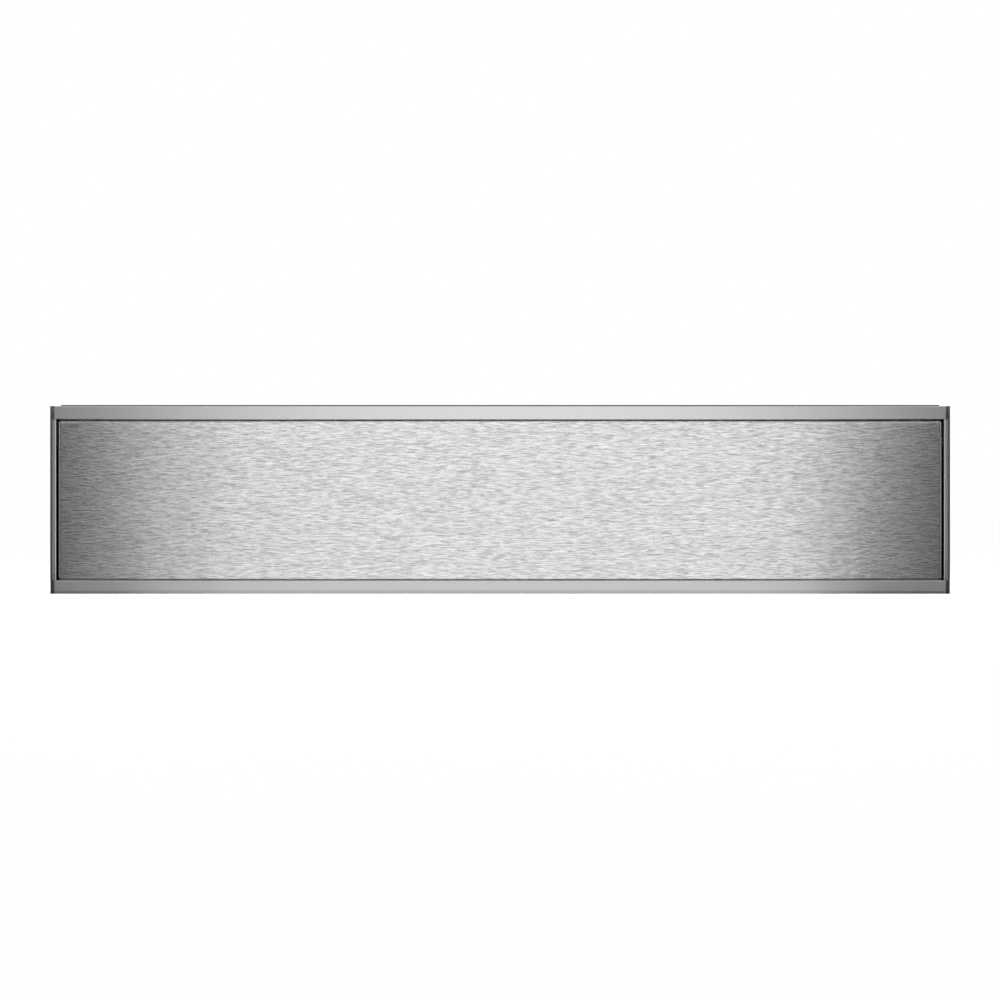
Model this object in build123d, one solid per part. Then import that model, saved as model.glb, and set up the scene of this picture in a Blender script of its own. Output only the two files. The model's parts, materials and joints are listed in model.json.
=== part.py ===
from build123d import *
import math
import os

# A built-in vacuum sealing drawer, in millimetres.
# X runs to the right, the front faces -Y, and Z = 0 is the shelf that it stands on.

# Front frame
frame_width = 590.0
frame_height = 123.1
frame_depth = 47.0
rail_height = 8.8
rail_sheet = 1.5
rail_edge = 0.5
rail_web_depth = 32.0
trim_sheet = 1.2
end_cap_width = 1.6
end_cap_seam = 0.3
jamb_face = 2.7
jamb_sheet = 1.2
seal_strip_length = 577.4
seal_strip_height = 0.85
seal_strip_edge = 0.2
seal_strip_depth = 10.0
seal_strip_setback = 4.0

# Housing behind the frame
appliance_depth = 545.0
frame_overlap = 17.0
housing_drop = 2.1
housing_sheet = 1.2
bend = 0.8
foot_height = 3.0
foot_radius = 10.0
foot_inset = 36.0
base_flange = 11.0
base_bead_width = 16.0
base_bead_height = 1.5
top_flange = 12.8
cross_rail_depth = 12.5
cross_rail_drop = 6.0
rear_flange = 15.0
rear_cover_depth = 110.5
rear_cover_lip = 6.0
fixing_hole_radius = 2.25
fixing_hole_spacing = 26.0
fixing_hole_inset = 13.5
fixing_hole_drop = 26.0
louvre_length = 40.0
louvre_width = 4.0
louvre_pitch = 9.0
louvre_drop = 37.0
louvre_insets = (88.8, 198.8)

# Mains cable gland in the rear wall
gland_inset = 51.8
gland_z = 34.0
gland_projection = 12.0
gland_bore = 4.0
gland_thread = 8.0
gland_flange = 12.0
gland_rim = 4.0
gland_length = 24.0

# Ball runners: outer, middle and inner member, and two rows of balls between each two
runner_rear_gap = 30.5
runner_height = 45.0
runner_width = 12.7
runner_bottom = 22.0
runner_setback = 5.5
runner_sheet = 1.2
race_gap = 0.3
cage_sheet = 0.8
cage_gap = 0.5
large_ball = 2.0
small_ball = 1.2
inner_flange = 5.7
balls_in_row = 4
drawer_travel = 430.0
cage_margin = 5.0

# Push-to-open latch on the rear wall
latch_width = 40.0
latch_height = 22.0
latch_depth = 24.0
latch_z = 50.0
plunger_radius = 6.0
plunger_length = 19.0
plunger_press = 3.0
plunger_gap = 0.4
latch_collar = 2.5
latch_collar_height = 1.2

# Drawer front
side_gap = 1.2
top_gap = 0.5
bottom_gap = 0.4
panel_recess = 0.5
panel_depth = 20.0
panel_sheet = 1.2
panel_end_fold = 1.9
panel_top_fold = 2.0
panel_bottom_fold = 1.2
panel_return = 12.0
carrier_sheet = 1.5
carrier_bottom = 12.0
carrier_top_gap = 5.8
carrier_flange = 25.0

# Drawer tray and deck
tray_bottom = 10.0
tray_sheet = 1.2
tray_flange = 8.0
rear_space = 31.3
deck_drop = 29.9
deck_sheet = 1.2
deck_rear_lip = 9.0

# Control strip in front of the lid
control_depth = 36.0
control_glass_height = 4.0
control_side_margin = 10.0
control_back_gap = 2.5
board_length = 240.0
board_width = 27.0
board_sheet = 1.6

# Vacuum chamber
chamber_side_margin = 29.1
pump_bay_width = 149.1
rear_bay_length = 134.0
chamber_floor = 16.0
chamber_sheet = 1.5
chamber_corner = 28.0
chamber_cove = 8.0
rim_width = 20.0
rim_corner = 12.0
groove_inset = 5.0
groove_width = 8.0
groove_depth = 4.5
floor_rib_height = 4.4
floor_rib_width = 14.0
seal_clearance = 0.2
seal_gap = 0.3
seal_bevel = 2.2
suction_inset = 48.0
suction_drop = 26.7
suction_radius = 7.0
suction_length = 22.0
suction_cap_height = 6.0
suction_cap_rim = 7.0
suction_cap_bevel = 2.0

# Glass lid
glass_thickness = 12.0
glass_corner = 12.0
glass_chamfer = 0.8
lid_overhang = 4.0
lid_lift_gap = 2.4
hinge_set_back = 9.5
arm_inset = 45.0
arm_width = 24.0
arm_reach = 34.0
arm_plate = 3.0
knuckle_radius = 7.0
hinge_pin_radius = 4.0
pin_clearance = 0.05
ear_sheet = 3.0
ear_gap = 0.4
ear_radius = 8.0
bracket_plate = 2.0
counter_width = 16.0
counter_height = 6.6
counter_end_gap = 16.0

# Sealing bar and its lift
bar_end_gap = 15.0
bar_width = 14.0
bar_height = 16.0
bar_front_gap = 12.5
bar_travel = 5.5
bar_rest_gap = 0.5
strip_height = 2.0
strip_width = 10.0
rod_radius = 4.0
rod_inset = 55.0
cylinder_radius = 11.0
cylinder_gap = 7.0
cylinder_wall = 3.5
piston_height = 6.0
piston_clearance = 0.08

# External vacuum port, on the deck
port_side_inset = 64.1
port_front_inset = 64.5
port_radius = 17.0
port_height = 3.0
port_bore = 4.0
port_stem = 9.0
port_stem_length = 9.0
cap_radius = 13.5
cap_height = 3.0
cap_pin_radius = 1.5
cap_lug_width = 8.0

# Rotary vane pump and its motor, with the shaft along Y
shaft_radius = 5.0
shaft_clearance = 0.08
pump_axis_rise = 1.2
pump_front_gap = 18.0
pump_head_length = 75.0
pump_head_width = 80.0
pump_head_gap = 16.8
pump_bore_wall = 8.0
pump_eccentricity = 3.4
pump_bore_depth = 56.0
vane_rotor_gap = 0.6
vane_thickness = 4.0
vane_depth = 11.0
vane_clearance = 0.1
vane_count = 3
rotor_end_gap = 0.4
motor_length = 120.0
motor_bay_gap = 4.8
motor_fin_height = 2.5
motor_fin_thickness = 2.4
motor_fin_count = 12
motor_wall_share = 0.24
motor_core_share = 0.65
motor_core_length = 66.0
air_gap = 0.5
end_shield = 8.0
cowl_length = 27.0
cowl_sheet = 1.5
pump_fan_gap = 7.0
pump_fan_length = 12.0
pump_fan_blades = 7
pump_fan_hub = 11.0
pump_fan_sheet = 1.6
mount_spacing_x = 96.0
mount_radius = 7.5
mount_height = 7.0
lug_height = 4.0

# Exhaust filter ahead of the pump
filter_radius = 27.0
filter_length = 74.0
filter_front_gap = 8.5
filter_end_radius = 6.0
filter_neck = 10.0

# Cooling fan on the tray's rear wall
fan_valve_gap = 76.0
fan_z = 44.0
fan_size = 60.0
fan_frame_length = 15.0
fan_bore = 28.0
fan_hub = 11.0
fan_blades = 7
fan_tip_gap = 0.6
fan_wall_hole = 25.0

# Transformer, power board and valve block in the rear compartment
transformer_side_inset = 68.1
transformer_rear_inset = 70.0
core_width = 66.0
core_depth = 30.0
core_height = 56.0
core_limb = 16.0
coil_depth = 50.0
power_board_spacing = 126.0
power_board_length = 130.0
power_board_width = 80.0
standoff_height = 9.0
valve_side_shift = 4.5
valve_rear_inset = 82.0
valve_length = 74.0
valve_width = 30.0
valve_height = 34.0
coil_radius = 10.0
coil_height = 28.0

# Vacuum hoses
hose_radius = 6.0
hose_bore = 4.0
hose_sides = 10
spigot_clearance = 0.1
spigot_length = 8.0
spigot_shoulder = 1.5
elbow_length = 9.0

# Hexagon-head screws
screw_radius = 2.0
screw_head_radius = 3.6
screw_head_height = 1.8
screw_clearance = 0.1

# Sides of the outlines that stand for plain round forms
wide_round = 24
small_round = 12

# Places that follow from the sizes
half_width = frame_width / 2
front_y = -appliance_depth / 2
back_y = appliance_depth / 2
frame_back = front_y + frame_depth
rail_half = half_width - trim_sheet - end_cap_width
jamb_outside = half_width - trim_sheet
jamb_inside = jamb_outside - jamb_face
wall_back = back_y - gland_projection
wall_outside = half_width - frame_overlap
wall_inside = wall_outside - housing_sheet
housing_top = frame_height - housing_drop
base_top = foot_height + housing_sheet
cross_rail_back = frame_back + cross_rail_depth
rear_cover_front = wall_back - rear_cover_depth
gland_x = -wall_inside + gland_inset
fixing_hole_height = housing_top - fixing_hole_drop
louvre_z = housing_top - louvre_drop

panel_half = jamb_inside - side_gap
panel_front = front_y + panel_recess
panel_back = panel_front + panel_depth
panel_bottom = rail_height + bottom_gap
panel_top = frame_height - rail_height - top_gap

tray_front = panel_back + carrier_sheet
tray_back = wall_back - housing_sheet - rear_space
tray_half = wall_inside - runner_width
tray_inside = tray_half - tray_sheet
tray_floor = tray_bottom + tray_sheet
deck_top = frame_height - deck_drop
deck_bottom = deck_top - deck_sheet
carrier_top = panel_top - carrier_top_gap

control_front = tray_front + 1.0
control_back = control_front + control_depth
control_half = tray_half - control_side_margin

lid_front = control_back + control_back_gap
chamber_front = lid_front + rim_width
chamber_back = tray_back - rear_bay_length
chamber_left = -tray_half + pump_bay_width
chamber_right = tray_half - chamber_side_margin
chamber_width = chamber_right - chamber_left
chamber_offset = (chamber_left + chamber_right) / 2
chamber_floor_top = chamber_floor + chamber_sheet
rim_top = deck_top + chamber_sheet
glass_bottom = rim_top + lid_lift_gap
glass_top = glass_bottom + glass_thickness
lid_width = chamber_width + 2 * rim_width
lid_back = chamber_back + rim_width + lid_overhang
hinge_y = lid_back + hinge_set_back
hinge_z = glass_bottom + glass_thickness / 2
arm_spacing = lid_width - 2 * arm_inset
suction_y = chamber_back - suction_inset
suction_z = rim_top - suction_drop

counter_bottom = glass_bottom - counter_height
bar_y = chamber_front + bar_front_gap + bar_width / 2
strip_top = counter_bottom - bar_rest_gap - bar_travel
bar_top = strip_top - strip_height
bar_bottom = bar_top - bar_height
bar_length = chamber_width - 2 * bar_end_gap
counter_length = chamber_width - 2 * counter_end_gap
rod_spacing = chamber_width - 2 * rod_inset
cylinder_height = bar_bottom - cylinder_gap - chamber_floor_top

port_x = -tray_half + port_side_inset
port_y = tray_front + port_front_inset

filter_front = tray_front + filter_front_gap
pump_front = filter_front + filter_length + pump_front_gap
pump_x = (chamber_left - groove_inset - groove_width - chamber_sheet - tray_inside) / 2
pump_axis_z = (tray_floor + deck_bottom) / 2 + pump_axis_rise
pump_head_height = deck_bottom - tray_floor - pump_head_gap
pump_bore = pump_head_height / 2 - pump_bore_wall
vane_rotor_radius = pump_bore - pump_eccentricity - vane_rotor_gap
motor_radius = (deck_bottom - tray_floor - motor_bay_gap) / 2 - motor_fin_height
motor_cavity = motor_radius * (1 - motor_wall_share)
motor_core_radius = motor_cavity * motor_core_share
cowl_radius = motor_radius + motor_fin_height
pump_fan_radius = cowl_radius - pump_fan_gap
pump_back = pump_front + pump_head_length
motor_back = pump_back + motor_length
cowl_back = motor_back + cowl_length
filter_x = pump_x
filter_z = tray_floor + filter_radius + 3.0
lug_bottom = tray_floor + mount_height

runner_front = frame_back + runner_setback
runner_length = wall_back - runner_rear_gap - runner_front
cage_length = runner_length - drawer_travel / 2 - cage_margin
runner_z = runner_bottom + runner_height / 2
race_end = large_ball + race_gap
middle_web = runner_sheet + cage_sheet + 2 * cage_gap
large_ball_x = middle_web + large_ball
large_ball_z = runner_height / 2 - runner_sheet - race_gap - large_ball
middle_half = large_ball_z - large_ball - race_gap
small_ball_x = runner_width - runner_sheet - small_ball - 1.1
small_ball_z = middle_half - runner_sheet - race_gap - small_ball
inner_half = small_ball_z - small_ball - race_gap

hose_x = chamber_left - chamber_sheet - 9
feed_x = hose_x - 16
valve_x = hose_x + valve_side_shift
valve_y = tray_back - valve_rear_inset
fan_x = valve_x + fan_valve_gap
transformer_x = tray_half - transformer_side_inset
transformer_y = tray_back - transformer_rear_inset
power_board_x = transformer_x - power_board_spacing
power_board_y = transformer_y


# Helpers

def rect(u_low, u_high, v_low, v_high):
    """Rectangle between two corners."""
    return Pos((u_low + u_high) / 2, (v_low + v_high) / 2) * Rectangle(u_high - u_low, v_high - v_low)


def rounded(u_low, u_high, v_low, v_high, radius):
    """Rectangle with rounded corners."""
    shape = RectangleRounded(u_high - u_low, v_high - v_low, radius)
    return Pos((u_low + u_high) / 2, (v_low + v_high) / 2) * shape


def outlined(*points):
    """Face inside straight edges, given its corners in anticlockwise order."""
    return make_face(Polyline(*points, close=True))


def disc(u, v, radius):
    """Circle about a point."""
    return Pos(u, v) * Circle(radius)


def slit(u, v, length, width, angle=0.0):
    """Square-ended slot about a point."""
    return Pos(u, v) * Rot(0, 0, angle) * Rectangle(length, width)


def drum(u, v, radius, sides=wide_round):
    """Many-sided outline about a point, given the radius of its corners."""
    return Pos(u, v) * RegularPolygon(radius, sides)


def drum_hole(u, v, radius, sides=wide_round):
    """Many-sided outline about a point that clears a circle of this radius."""
    return Pos(u, v) * RegularPolygon(radius, sides, major_radius=False)


def along_x(section, start, end):
    """Extrude a section drawn in Y, Z from x = start to x = end."""
    return extrude(Plane.YZ.offset(start) * section, amount=end - start, dir=(1, 0, 0))


def along_y(section, start, end):
    """Extrude a section drawn in X, Z from y = start to y = end."""
    return extrude(Plane.XZ.offset(-start) * section, amount=end - start, dir=(0, 1, 0))


def along_z(section, start, end):
    """Extrude a section drawn in X, Y from z = start to z = end."""
    return extrude(Plane.XY.offset(start) * section, amount=end - start, dir=(0, 0, 1))


def turned(start, direction, outline):
    """Solid turned about the line from start along direction, from radius and distance pairs."""
    face = make_face(Polyline(*outline, close=True))
    body = revolve(Plane.XZ * face, Axis.Z)
    return Plane(origin=start, z_dir=direction) * body


def mirrored(shape):
    """The same piece on the other side."""
    return mirror(shape, about=Plane.YZ)


def spread(count, low, high):
    """Evenly spaced places from low to high."""
    return [low + (high - low) * index / (count - 1) for index in range(count)]


def corner_near(face, point):
    """The corner of a flat face that lies nearest a point."""
    target = Vector(*point)
    return min(face.vertices(), key=lambda vertex: (Vector(vertex) - target).length)


def folded(points, thickness, inner_radius):
    """Section of a folded sheet, which lies to the left of the line through the points."""
    steps = [Vector(*b) - Vector(*a) for a, b in zip(points, points[1:])]
    normals = [Vector(-step.Y, step.X).normalized() for step in steps]
    second = [Vector(*points[0]) + normals[0] * thickness]
    for index in range(1, len(points) - 1):
        total = normals[index - 1] + normals[index]
        share = 1 + normals[index - 1].dot(normals[index])
        second.append(Vector(*points[index]) + total * (thickness / share))
    second.append(Vector(*points[-1]) + normals[-1] * thickness)
    inside = [(point.X, point.Y) for point in second]
    face = make_face(Polyline(*points, *reversed(inside), close=True)).face()
    wide = []
    tight = []
    for index in range(1, len(points) - 1):
        turns_left = normals[index - 1].dot(steps[index]) > 0
        outer, inner = (points, inside) if turns_left else (inside, points)
        wide.append(outer[index])
        tight.append(inner[index])
    face = face.fillet_2d(inner_radius + thickness, [corner_near(face, point) for point in wide])
    if inner_radius > 0:
        face = face.fillet_2d(inner_radius, [corner_near(face, point) for point in tight])
    return face


def prism(start, direction, length, radius, sides=6):
    """Prism from a point along a direction, given the radius of its corners."""
    return extrude(Plane(origin=start, z_dir=direction) * RegularPolygon(radius, sides), amount=length)


def screw(seat, direction, length):
    """Hexagon-head screw with its head's underside at seat and its shank along direction."""
    head = prism(seat, Vector(*direction) * -1, screw_head_height, screw_head_radius)
    return head + prism(seat, direction, length, screw_radius)


def screw_hole(seat, direction, length):
    """Hole that a screw's shank passes."""
    start = Vector(*seat) - Vector(*direction)
    return prism(start, direction, length + 2, screw_radius + screw_clearance)


# Front frame

def rail_section(top, height, web_side):
    """Channel of a rail, open to the rear, with its short web on the side that faces the drawer."""
    low, high = top - height, top
    outer = rect(front_y, frame_back, low, high)
    front_edges = [corner_near(outer.face(), (front_y, level)) for level in (low, high)]
    outer = outer.face().fillet_2d(rail_edge, front_edges)
    inner = rect(front_y + rail_sheet, frame_back - rail_sheet, low + rail_sheet, high - rail_sheet)
    section = Sketch() + outer - inner
    level = low if web_side == "low" else high
    mouth = rect(front_y + rail_web_depth, frame_back - rail_sheet, level - rail_sheet, level + rail_sheet)
    return section - mouth


def top_rail():
    """Top rail, whose rear flange meets the cross rail."""
    return along_x(rail_section(frame_height, rail_height, "low"), -rail_half, rail_half)


def bottom_rail():
    """Bottom rail, which stands on the shelf."""
    return along_x(rail_section(rail_height, rail_height, "high"), -rail_half, rail_half)


def right_jamb():
    """Upright between the rails: a narrow face, a side and a flange back to the housing."""
    face = rect(jamb_inside, jamb_outside, front_y, front_y + jamb_sheet)
    side = rect(jamb_outside - jamb_sheet, jamb_outside, front_y, frame_back)
    flange = rect(wall_outside, jamb_outside, frame_back - jamb_sheet, frame_back)
    section = face + side + flange
    jamb = along_z(section, rail_height, frame_height - rail_height)
    levels = spread(4, rail_height + 23, frame_height - rail_height - 22)
    cooling = [slit((wall_outside + jamb_inside) / 2, z, 14.0, 3.0, 90) for z in levels]
    return jamb - [along_y(shape, frame_back - 5, frame_back + 5) for shape in cooling]


def right_side_trim():
    """Dark outer plate with an end cap beside each rail, parted from it by a fine seam."""
    plate = rect(jamb_outside, half_width, 0, frame_height)
    trim = along_y(plate, front_y, frame_back)
    seam_x = jamb_outside - end_cap_seam
    for low, high in ((0, rail_height), (frame_height - rail_height, frame_height)):
        cap = along_y(rect(rail_half, jamb_outside, low, high), front_y, frame_back)
        seam = along_y(rect(seam_x - end_cap_seam, seam_x, low - 1, high + 1), front_y - 1, front_y + 1)
        trim = trim + (cap - seam)
    return trim


def top_seal_strip():
    """Soft strip on the top rail that closes the gap to the cabinet, with eased top edges."""
    half = seal_strip_length / 2
    back = frame_back - seal_strip_setback
    section = rect(back - seal_strip_depth, back, frame_height, frame_height + seal_strip_height)
    strip = along_x(section, -half, half)
    edges = strip.edges().filter_by(Axis.X).group_by(Axis.Z)[-1]
    return chamfer(edges, seal_strip_edge)


# Housing

def feet_places():
    """Centres of the four feet."""
    x = wall_outside - foot_inset
    return [(side * x, y) for side in (-1, 1) for y in (frame_back + foot_inset, wall_back - foot_inset)]


def base_screws():
    """Seats of the screws that join the side walls to the base plate."""
    z = foot_height + base_flange / 2 + housing_sheet
    return [(wall_outside, y, z) for y in spread(4, frame_back + 20, wall_back - 40)]


def cover_screws():
    """Seats of the screws that hold the rear cover on the side walls."""
    x = wall_outside - top_flange + 6
    rows = (rear_cover_front + 20, wall_back - 25)
    return [(side * x, y, housing_top + housing_sheet) for side in (-1, 1) for y in rows]


def base_plate():
    """Floor of the housing, with turned-up sides, pressed beads and cooling slots."""
    outline = [
        (-wall_inside, foot_height + base_flange),
        (-wall_inside, foot_height),
        (wall_inside, foot_height),
        (wall_inside, foot_height + base_flange),
    ]
    plate = along_y(folded(outline, housing_sheet, bend), frame_back, wall_back)
    above = rect(-wall_outside, wall_outside, base_top, housing_top)
    plate -= along_y(above, wall_back - rear_flange, wall_back + 1)
    middle_y = (frame_back + wall_back) / 2
    length = (wall_back - frame_back) * 0.7
    for x in spread(4, -wall_inside * 0.66, wall_inside * 0.66):
        raised = slit(x, middle_y, length, base_bead_width, 90)
        pressed = slit(x, middle_y, length - 2 * housing_sheet, base_bead_width - 2 * housing_sheet, 90)
        plate += along_z(raised, base_top, base_top + base_bead_height)
        plate -= along_z(pressed, foot_height - 1, foot_height + base_bead_height)
    vent_y = power_board_y + 9.5
    vents = [slit(x, vent_y, louvre_length, louvre_width, 90) for x in spread(7, -34, 34)]
    plate -= [along_z(shape, foot_height - 1, base_top + 1) for shape in vents]
    seats = base_screws() + [(-x, y, z) for x, y, z in base_screws()]
    plate -= [screw_hole(seat, (-math.copysign(1, seat[0]), 0, 0), 6) for seat in seats]
    return plate


def right_side_wall():
    """Side of the housing, with a top flange, cabinet fixing holes and rear cooling slots."""
    outline = [
        (wall_outside, foot_height),
        (wall_outside, housing_top),
        (wall_outside - top_flange - housing_sheet, housing_top),
    ]
    wall = along_y(folded(outline, housing_sheet, bend), frame_back, wall_back)
    tab = rect(wall_inside, wall_outside, rail_height, frame_height - rail_height)
    wall += along_y(tab, frame_back - jamb_sheet, frame_back)
    flange = rect(0, wall_inside, housing_top - 4, housing_top + 1)
    wall -= along_y(flange, frame_back - 1, cross_rail_back)
    wall -= along_y(flange, wall_back - rear_flange, wall_back + 1)
    holes = [disc(y, z, fixing_hole_radius) for y, z in fixing_places()]
    wall -= [along_x(shape, wall_inside - 5, wall_outside + 5) for shape in holes]
    places = spread(8, wall_back - 105, wall_back - 40)
    slots = [slit(y, housing_top - 29, 26.0, louvre_width, 90) for y in places]
    wall -= [along_x(shape, wall_inside - 5, wall_outside + 5) for shape in slots]
    wall -= [screw_hole(seat, (-1, 0, 0), 6) for seat in base_screws()]
    wall -= [screw_hole(seat, (0, 0, -1), 6) for seat in cover_screws()]
    return wall


def fixing_places():
    """Y and Z of the two holes that screw a side wall to the cabinet."""
    y = frame_back + fixing_hole_inset
    half = fixing_hole_spacing / 2
    return [(y, fixing_hole_height - half), (y, fixing_hole_height + half)]


def rear_wall():
    """Back of the housing, with forward flanges, louvres, and holes for the gland."""
    outline = [
        (wall_inside, wall_back - rear_flange),
        (wall_inside, wall_back),
        (-wall_inside, wall_back),
        (-wall_inside, wall_back - rear_flange),
    ]
    wall = along_z(folded(outline, housing_sheet, bend), base_top, housing_top)
    slots = []
    middles = [fan_x] + [wall_inside - inset for inset in louvre_insets]
    for middle in middles:
        for x in spread(5, middle - 2 * louvre_pitch, middle + 2 * louvre_pitch):
            slots.append(slit(x, louvre_z, louvre_length, louvre_width, 90))
    wall -= [along_y(shape, wall_back - 5, wall_back + 5) for shape in slots]
    hole = drum(gland_x, gland_z, gland_thread + 0.1, small_round)
    wall -= along_y(hole, wall_back - 5, wall_back + 5)
    return wall


def rear_top_cover():
    """Cover over the rear of the housing, clear of the lid's swing, with a folded front lip."""
    outline = [
        (wall_back, housing_top + housing_sheet),
        (rear_cover_front, housing_top + housing_sheet),
        (rear_cover_front, housing_top + housing_sheet - rear_cover_lip),
    ]
    cover = along_x(folded(outline, housing_sheet, bend), -wall_outside, wall_outside)
    lip_ends = rect(wall_outside - top_flange - 3, wall_outside + 1, housing_top - 10, housing_top)
    cover -= along_y(lip_ends, rear_cover_front - 1, rear_cover_front + 5)
    cover -= mirrored(along_y(lip_ends, rear_cover_front - 1, rear_cover_front + 5))
    middle = (rear_cover_front + wall_back) / 2
    places = [side * x for side in (-1, 1) for x in spread(8, 40, 180)]
    slots = [slit(x, middle, louvre_length, louvre_width, 90) for x in places]
    cover -= [along_z(shape, housing_top - 5, housing_top + 5) for shape in slots]
    cover -= [screw_hole(seat, (0, 0, -1), 6) for seat in cover_screws()]
    return cover


def front_cross_rail():
    """Angle that ties the side walls together behind the top rail."""
    outline = [
        (cross_rail_back, housing_top),
        (frame_back, housing_top),
        (frame_back, housing_top - cross_rail_drop),
    ]
    return along_x(folded(outline, housing_sheet, bend), -wall_inside, wall_inside)


def feet():
    """Four rubber feet under the base plate."""
    places = [(x, y, 0) for x, y in feet_places()]
    return [prism(place, (0, 0, 1), foot_height, foot_radius, wide_round) for place in places]


def cable_gland():
    """Gland for the mains cable: thread through the wall, nut inside, flange and dome outside."""
    rim = wall_back + gland_rim
    body = along_y(drum(gland_x, gland_z, gland_thread, small_round), back_y - gland_length, wall_back)
    body += along_y(drum(gland_x, gland_z, gland_flange), wall_back, rim)
    wide = Plane(origin=(gland_x, rim, gland_z), z_dir=(0, 1, 0))
    narrow = Plane(origin=(gland_x, back_y, gland_z), z_dir=(0, 1, 0))
    foot = wide * RegularPolygon(gland_flange - 2, wide_round)
    crown = narrow * RegularPolygon(gland_bore + 2, wide_round)
    body += loft([foot.face(), crown.face()], ruled=True)
    body -= along_y(disc(gland_x, gland_z, gland_bore), back_y - gland_length - 1, back_y + 1)
    nut = drum(gland_x, gland_z, gland_flange, 6) - drum(gland_x, gland_z, gland_thread, small_round)
    inside = wall_back - housing_sheet
    return [body, along_y(nut, inside - 5, inside)]


def housing_screws():
    """Screws of the side walls and the rear cover."""
    right = [screw(seat, (-1, 0, 0), 5) for seat in base_screws()]
    left = [mirrored(shape) for shape in right]
    top = [screw(seat, (0, 0, -1), 6) for seat in cover_screws()]
    return right + left + top


# Ball runners, drawn for the right side with x measured in from the housing wall

def race_channel(web, half_height, ball_x, ball_z, ball_radius):
    """Section of a runner member whose two edges curl round a row of balls."""
    inner_radius = ball_radius + race_gap
    outer_radius = inner_radius + runner_sheet
    corner = 1.5
    inner_corner = corner - runner_sheet
    inner_level = half_height - runner_sheet
    diagonal = math.sqrt(0.5)
    upper = [
        Line((web, 0), (web, half_height - corner)),
        ThreePointArc(
            (web, half_height - corner),
            (web + corner * (1 - diagonal), half_height - corner * (1 - diagonal)),
            (web + corner, half_height),
        ),
        Line((web + corner, half_height), (ball_x, half_height)),
        ThreePointArc(
            (ball_x, half_height),
            (ball_x + outer_radius * diagonal, ball_z + outer_radius * diagonal),
            (ball_x + outer_radius, ball_z),
        ),
        Line((ball_x + outer_radius, ball_z), (ball_x + inner_radius, ball_z)),
        ThreePointArc(
            (ball_x + inner_radius, ball_z),
            (ball_x + inner_radius * diagonal, ball_z + inner_radius * diagonal),
            (ball_x, inner_level),
        ),
        Line((ball_x, inner_level), (web + runner_sheet + inner_corner, inner_level)),
        Line(
            (web + runner_sheet + inner_corner, inner_level),
            (web + runner_sheet, inner_level - inner_corner),
        ),
        Line((web + runner_sheet, inner_level - inner_corner), (web + runner_sheet, 0)),
        Line((web + runner_sheet, 0), (web, 0)),
    ]
    half = make_face(upper)
    return Sketch() + half + mirror(half, about=Plane.XZ)


def on_right_wall(section, start, end):
    """Place a runner section against the right wall and extrude it along Y."""
    turned_section = Pos(wall_inside, runner_z) * mirror(section, about=Plane.YZ)
    return along_y(turned_section, start, end)


def runner_window(distance, length, y):
    """Cutter for a round-ended window through a member's web, at a distance from the wall."""
    x = wall_inside - distance
    return along_x(slit(y, runner_z, length, 8.0), x - runner_sheet - 1, x + 1)


def right_runner_outer():
    """Outer member, on the housing wall."""
    section = race_channel(0, runner_height / 2, large_ball_x, large_ball_z, large_ball)
    member = on_right_wall(section, runner_front, runner_front + runner_length)
    places = spread(4, runner_front + 40, runner_front + runner_length - 60)
    return member - [runner_window(0, 20, y) for y in places]


def right_runner_middle():
    """Middle member, which travels half as far as the drawer."""
    section = race_channel(middle_web, middle_half, small_ball_x, small_ball_z, small_ball)
    member = on_right_wall(section, runner_front, runner_front + runner_length)
    places = spread(3, runner_front + 70, runner_front + runner_length - 70)
    return member - [runner_window(middle_web, 30, y) for y in places]


def right_runner_inner():
    """Inner member, on the side of the tray."""
    low = runner_width - inner_flange
    outline = [
        (low, inner_half),
        (runner_width, inner_half),
        (runner_width, -inner_half),
        (low, -inner_half),
    ]
    section = folded(list(reversed(outline)), runner_sheet, 0.3)
    member = on_right_wall(Sketch() + section, runner_front, runner_front + runner_length)
    places = spread(4, runner_front + 30, runner_front + runner_length - 30)
    return member - [runner_window(runner_width - runner_sheet, 12, y) for y in places]


def ball(x, y, z, radius):
    """Small ball, cut with few flats from a cube so that many of them stay light."""
    body = Box(2 * radius, 2 * radius, 2 * radius)
    bevel = radius * 0.58
    return Pos(x, y, z) * chamfer(body.edges(), bevel)


def ball_cage(web, reach, ball_x, ball_z, ball_radius):
    """Retainer between two members, with the two rows of balls that it keeps apart."""
    half = ball_z + cage_sheet / 2
    outline = [(reach, -half), (web, -half), (web, half), (reach, half)]
    section = folded(list(reversed(outline)), cage_sheet, 0.0)
    middle = runner_front + runner_length / 2
    start = middle - cage_length / 2
    cage = on_right_wall(Sketch() + section, start, start + cage_length)
    balls = []
    for y in spread(balls_in_row, start + 12, start + cage_length - 12):
        x = wall_inside - ball_x
        room = ball_radius + 0.1
        for side in (-1, 1):
            z = runner_z + side * ball_z
            cage -= along_z(rect(x - room, x + room, y - room, y + room), z - room, z + room)
            balls.append(ball(x, y, z, ball_radius))
    return [cage] + balls


def right_outer_cage():
    """Cage between the outer and the middle member."""
    web = runner_sheet + cage_gap
    return ball_cage(web, large_ball_x + large_ball - 0.3, large_ball_x, large_ball_z, large_ball)


def right_inner_cage():
    """Cage between the middle and the inner member."""
    web = middle_web + runner_sheet + cage_gap
    return ball_cage(web, small_ball_x + small_ball - 0.2, small_ball_x, small_ball_z, small_ball)


# Push-to-open latch

latch_back = wall_back - housing_sheet
latch_front = latch_back - latch_depth
plunger_tip = tray_back + plunger_press + plunger_gap


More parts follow.
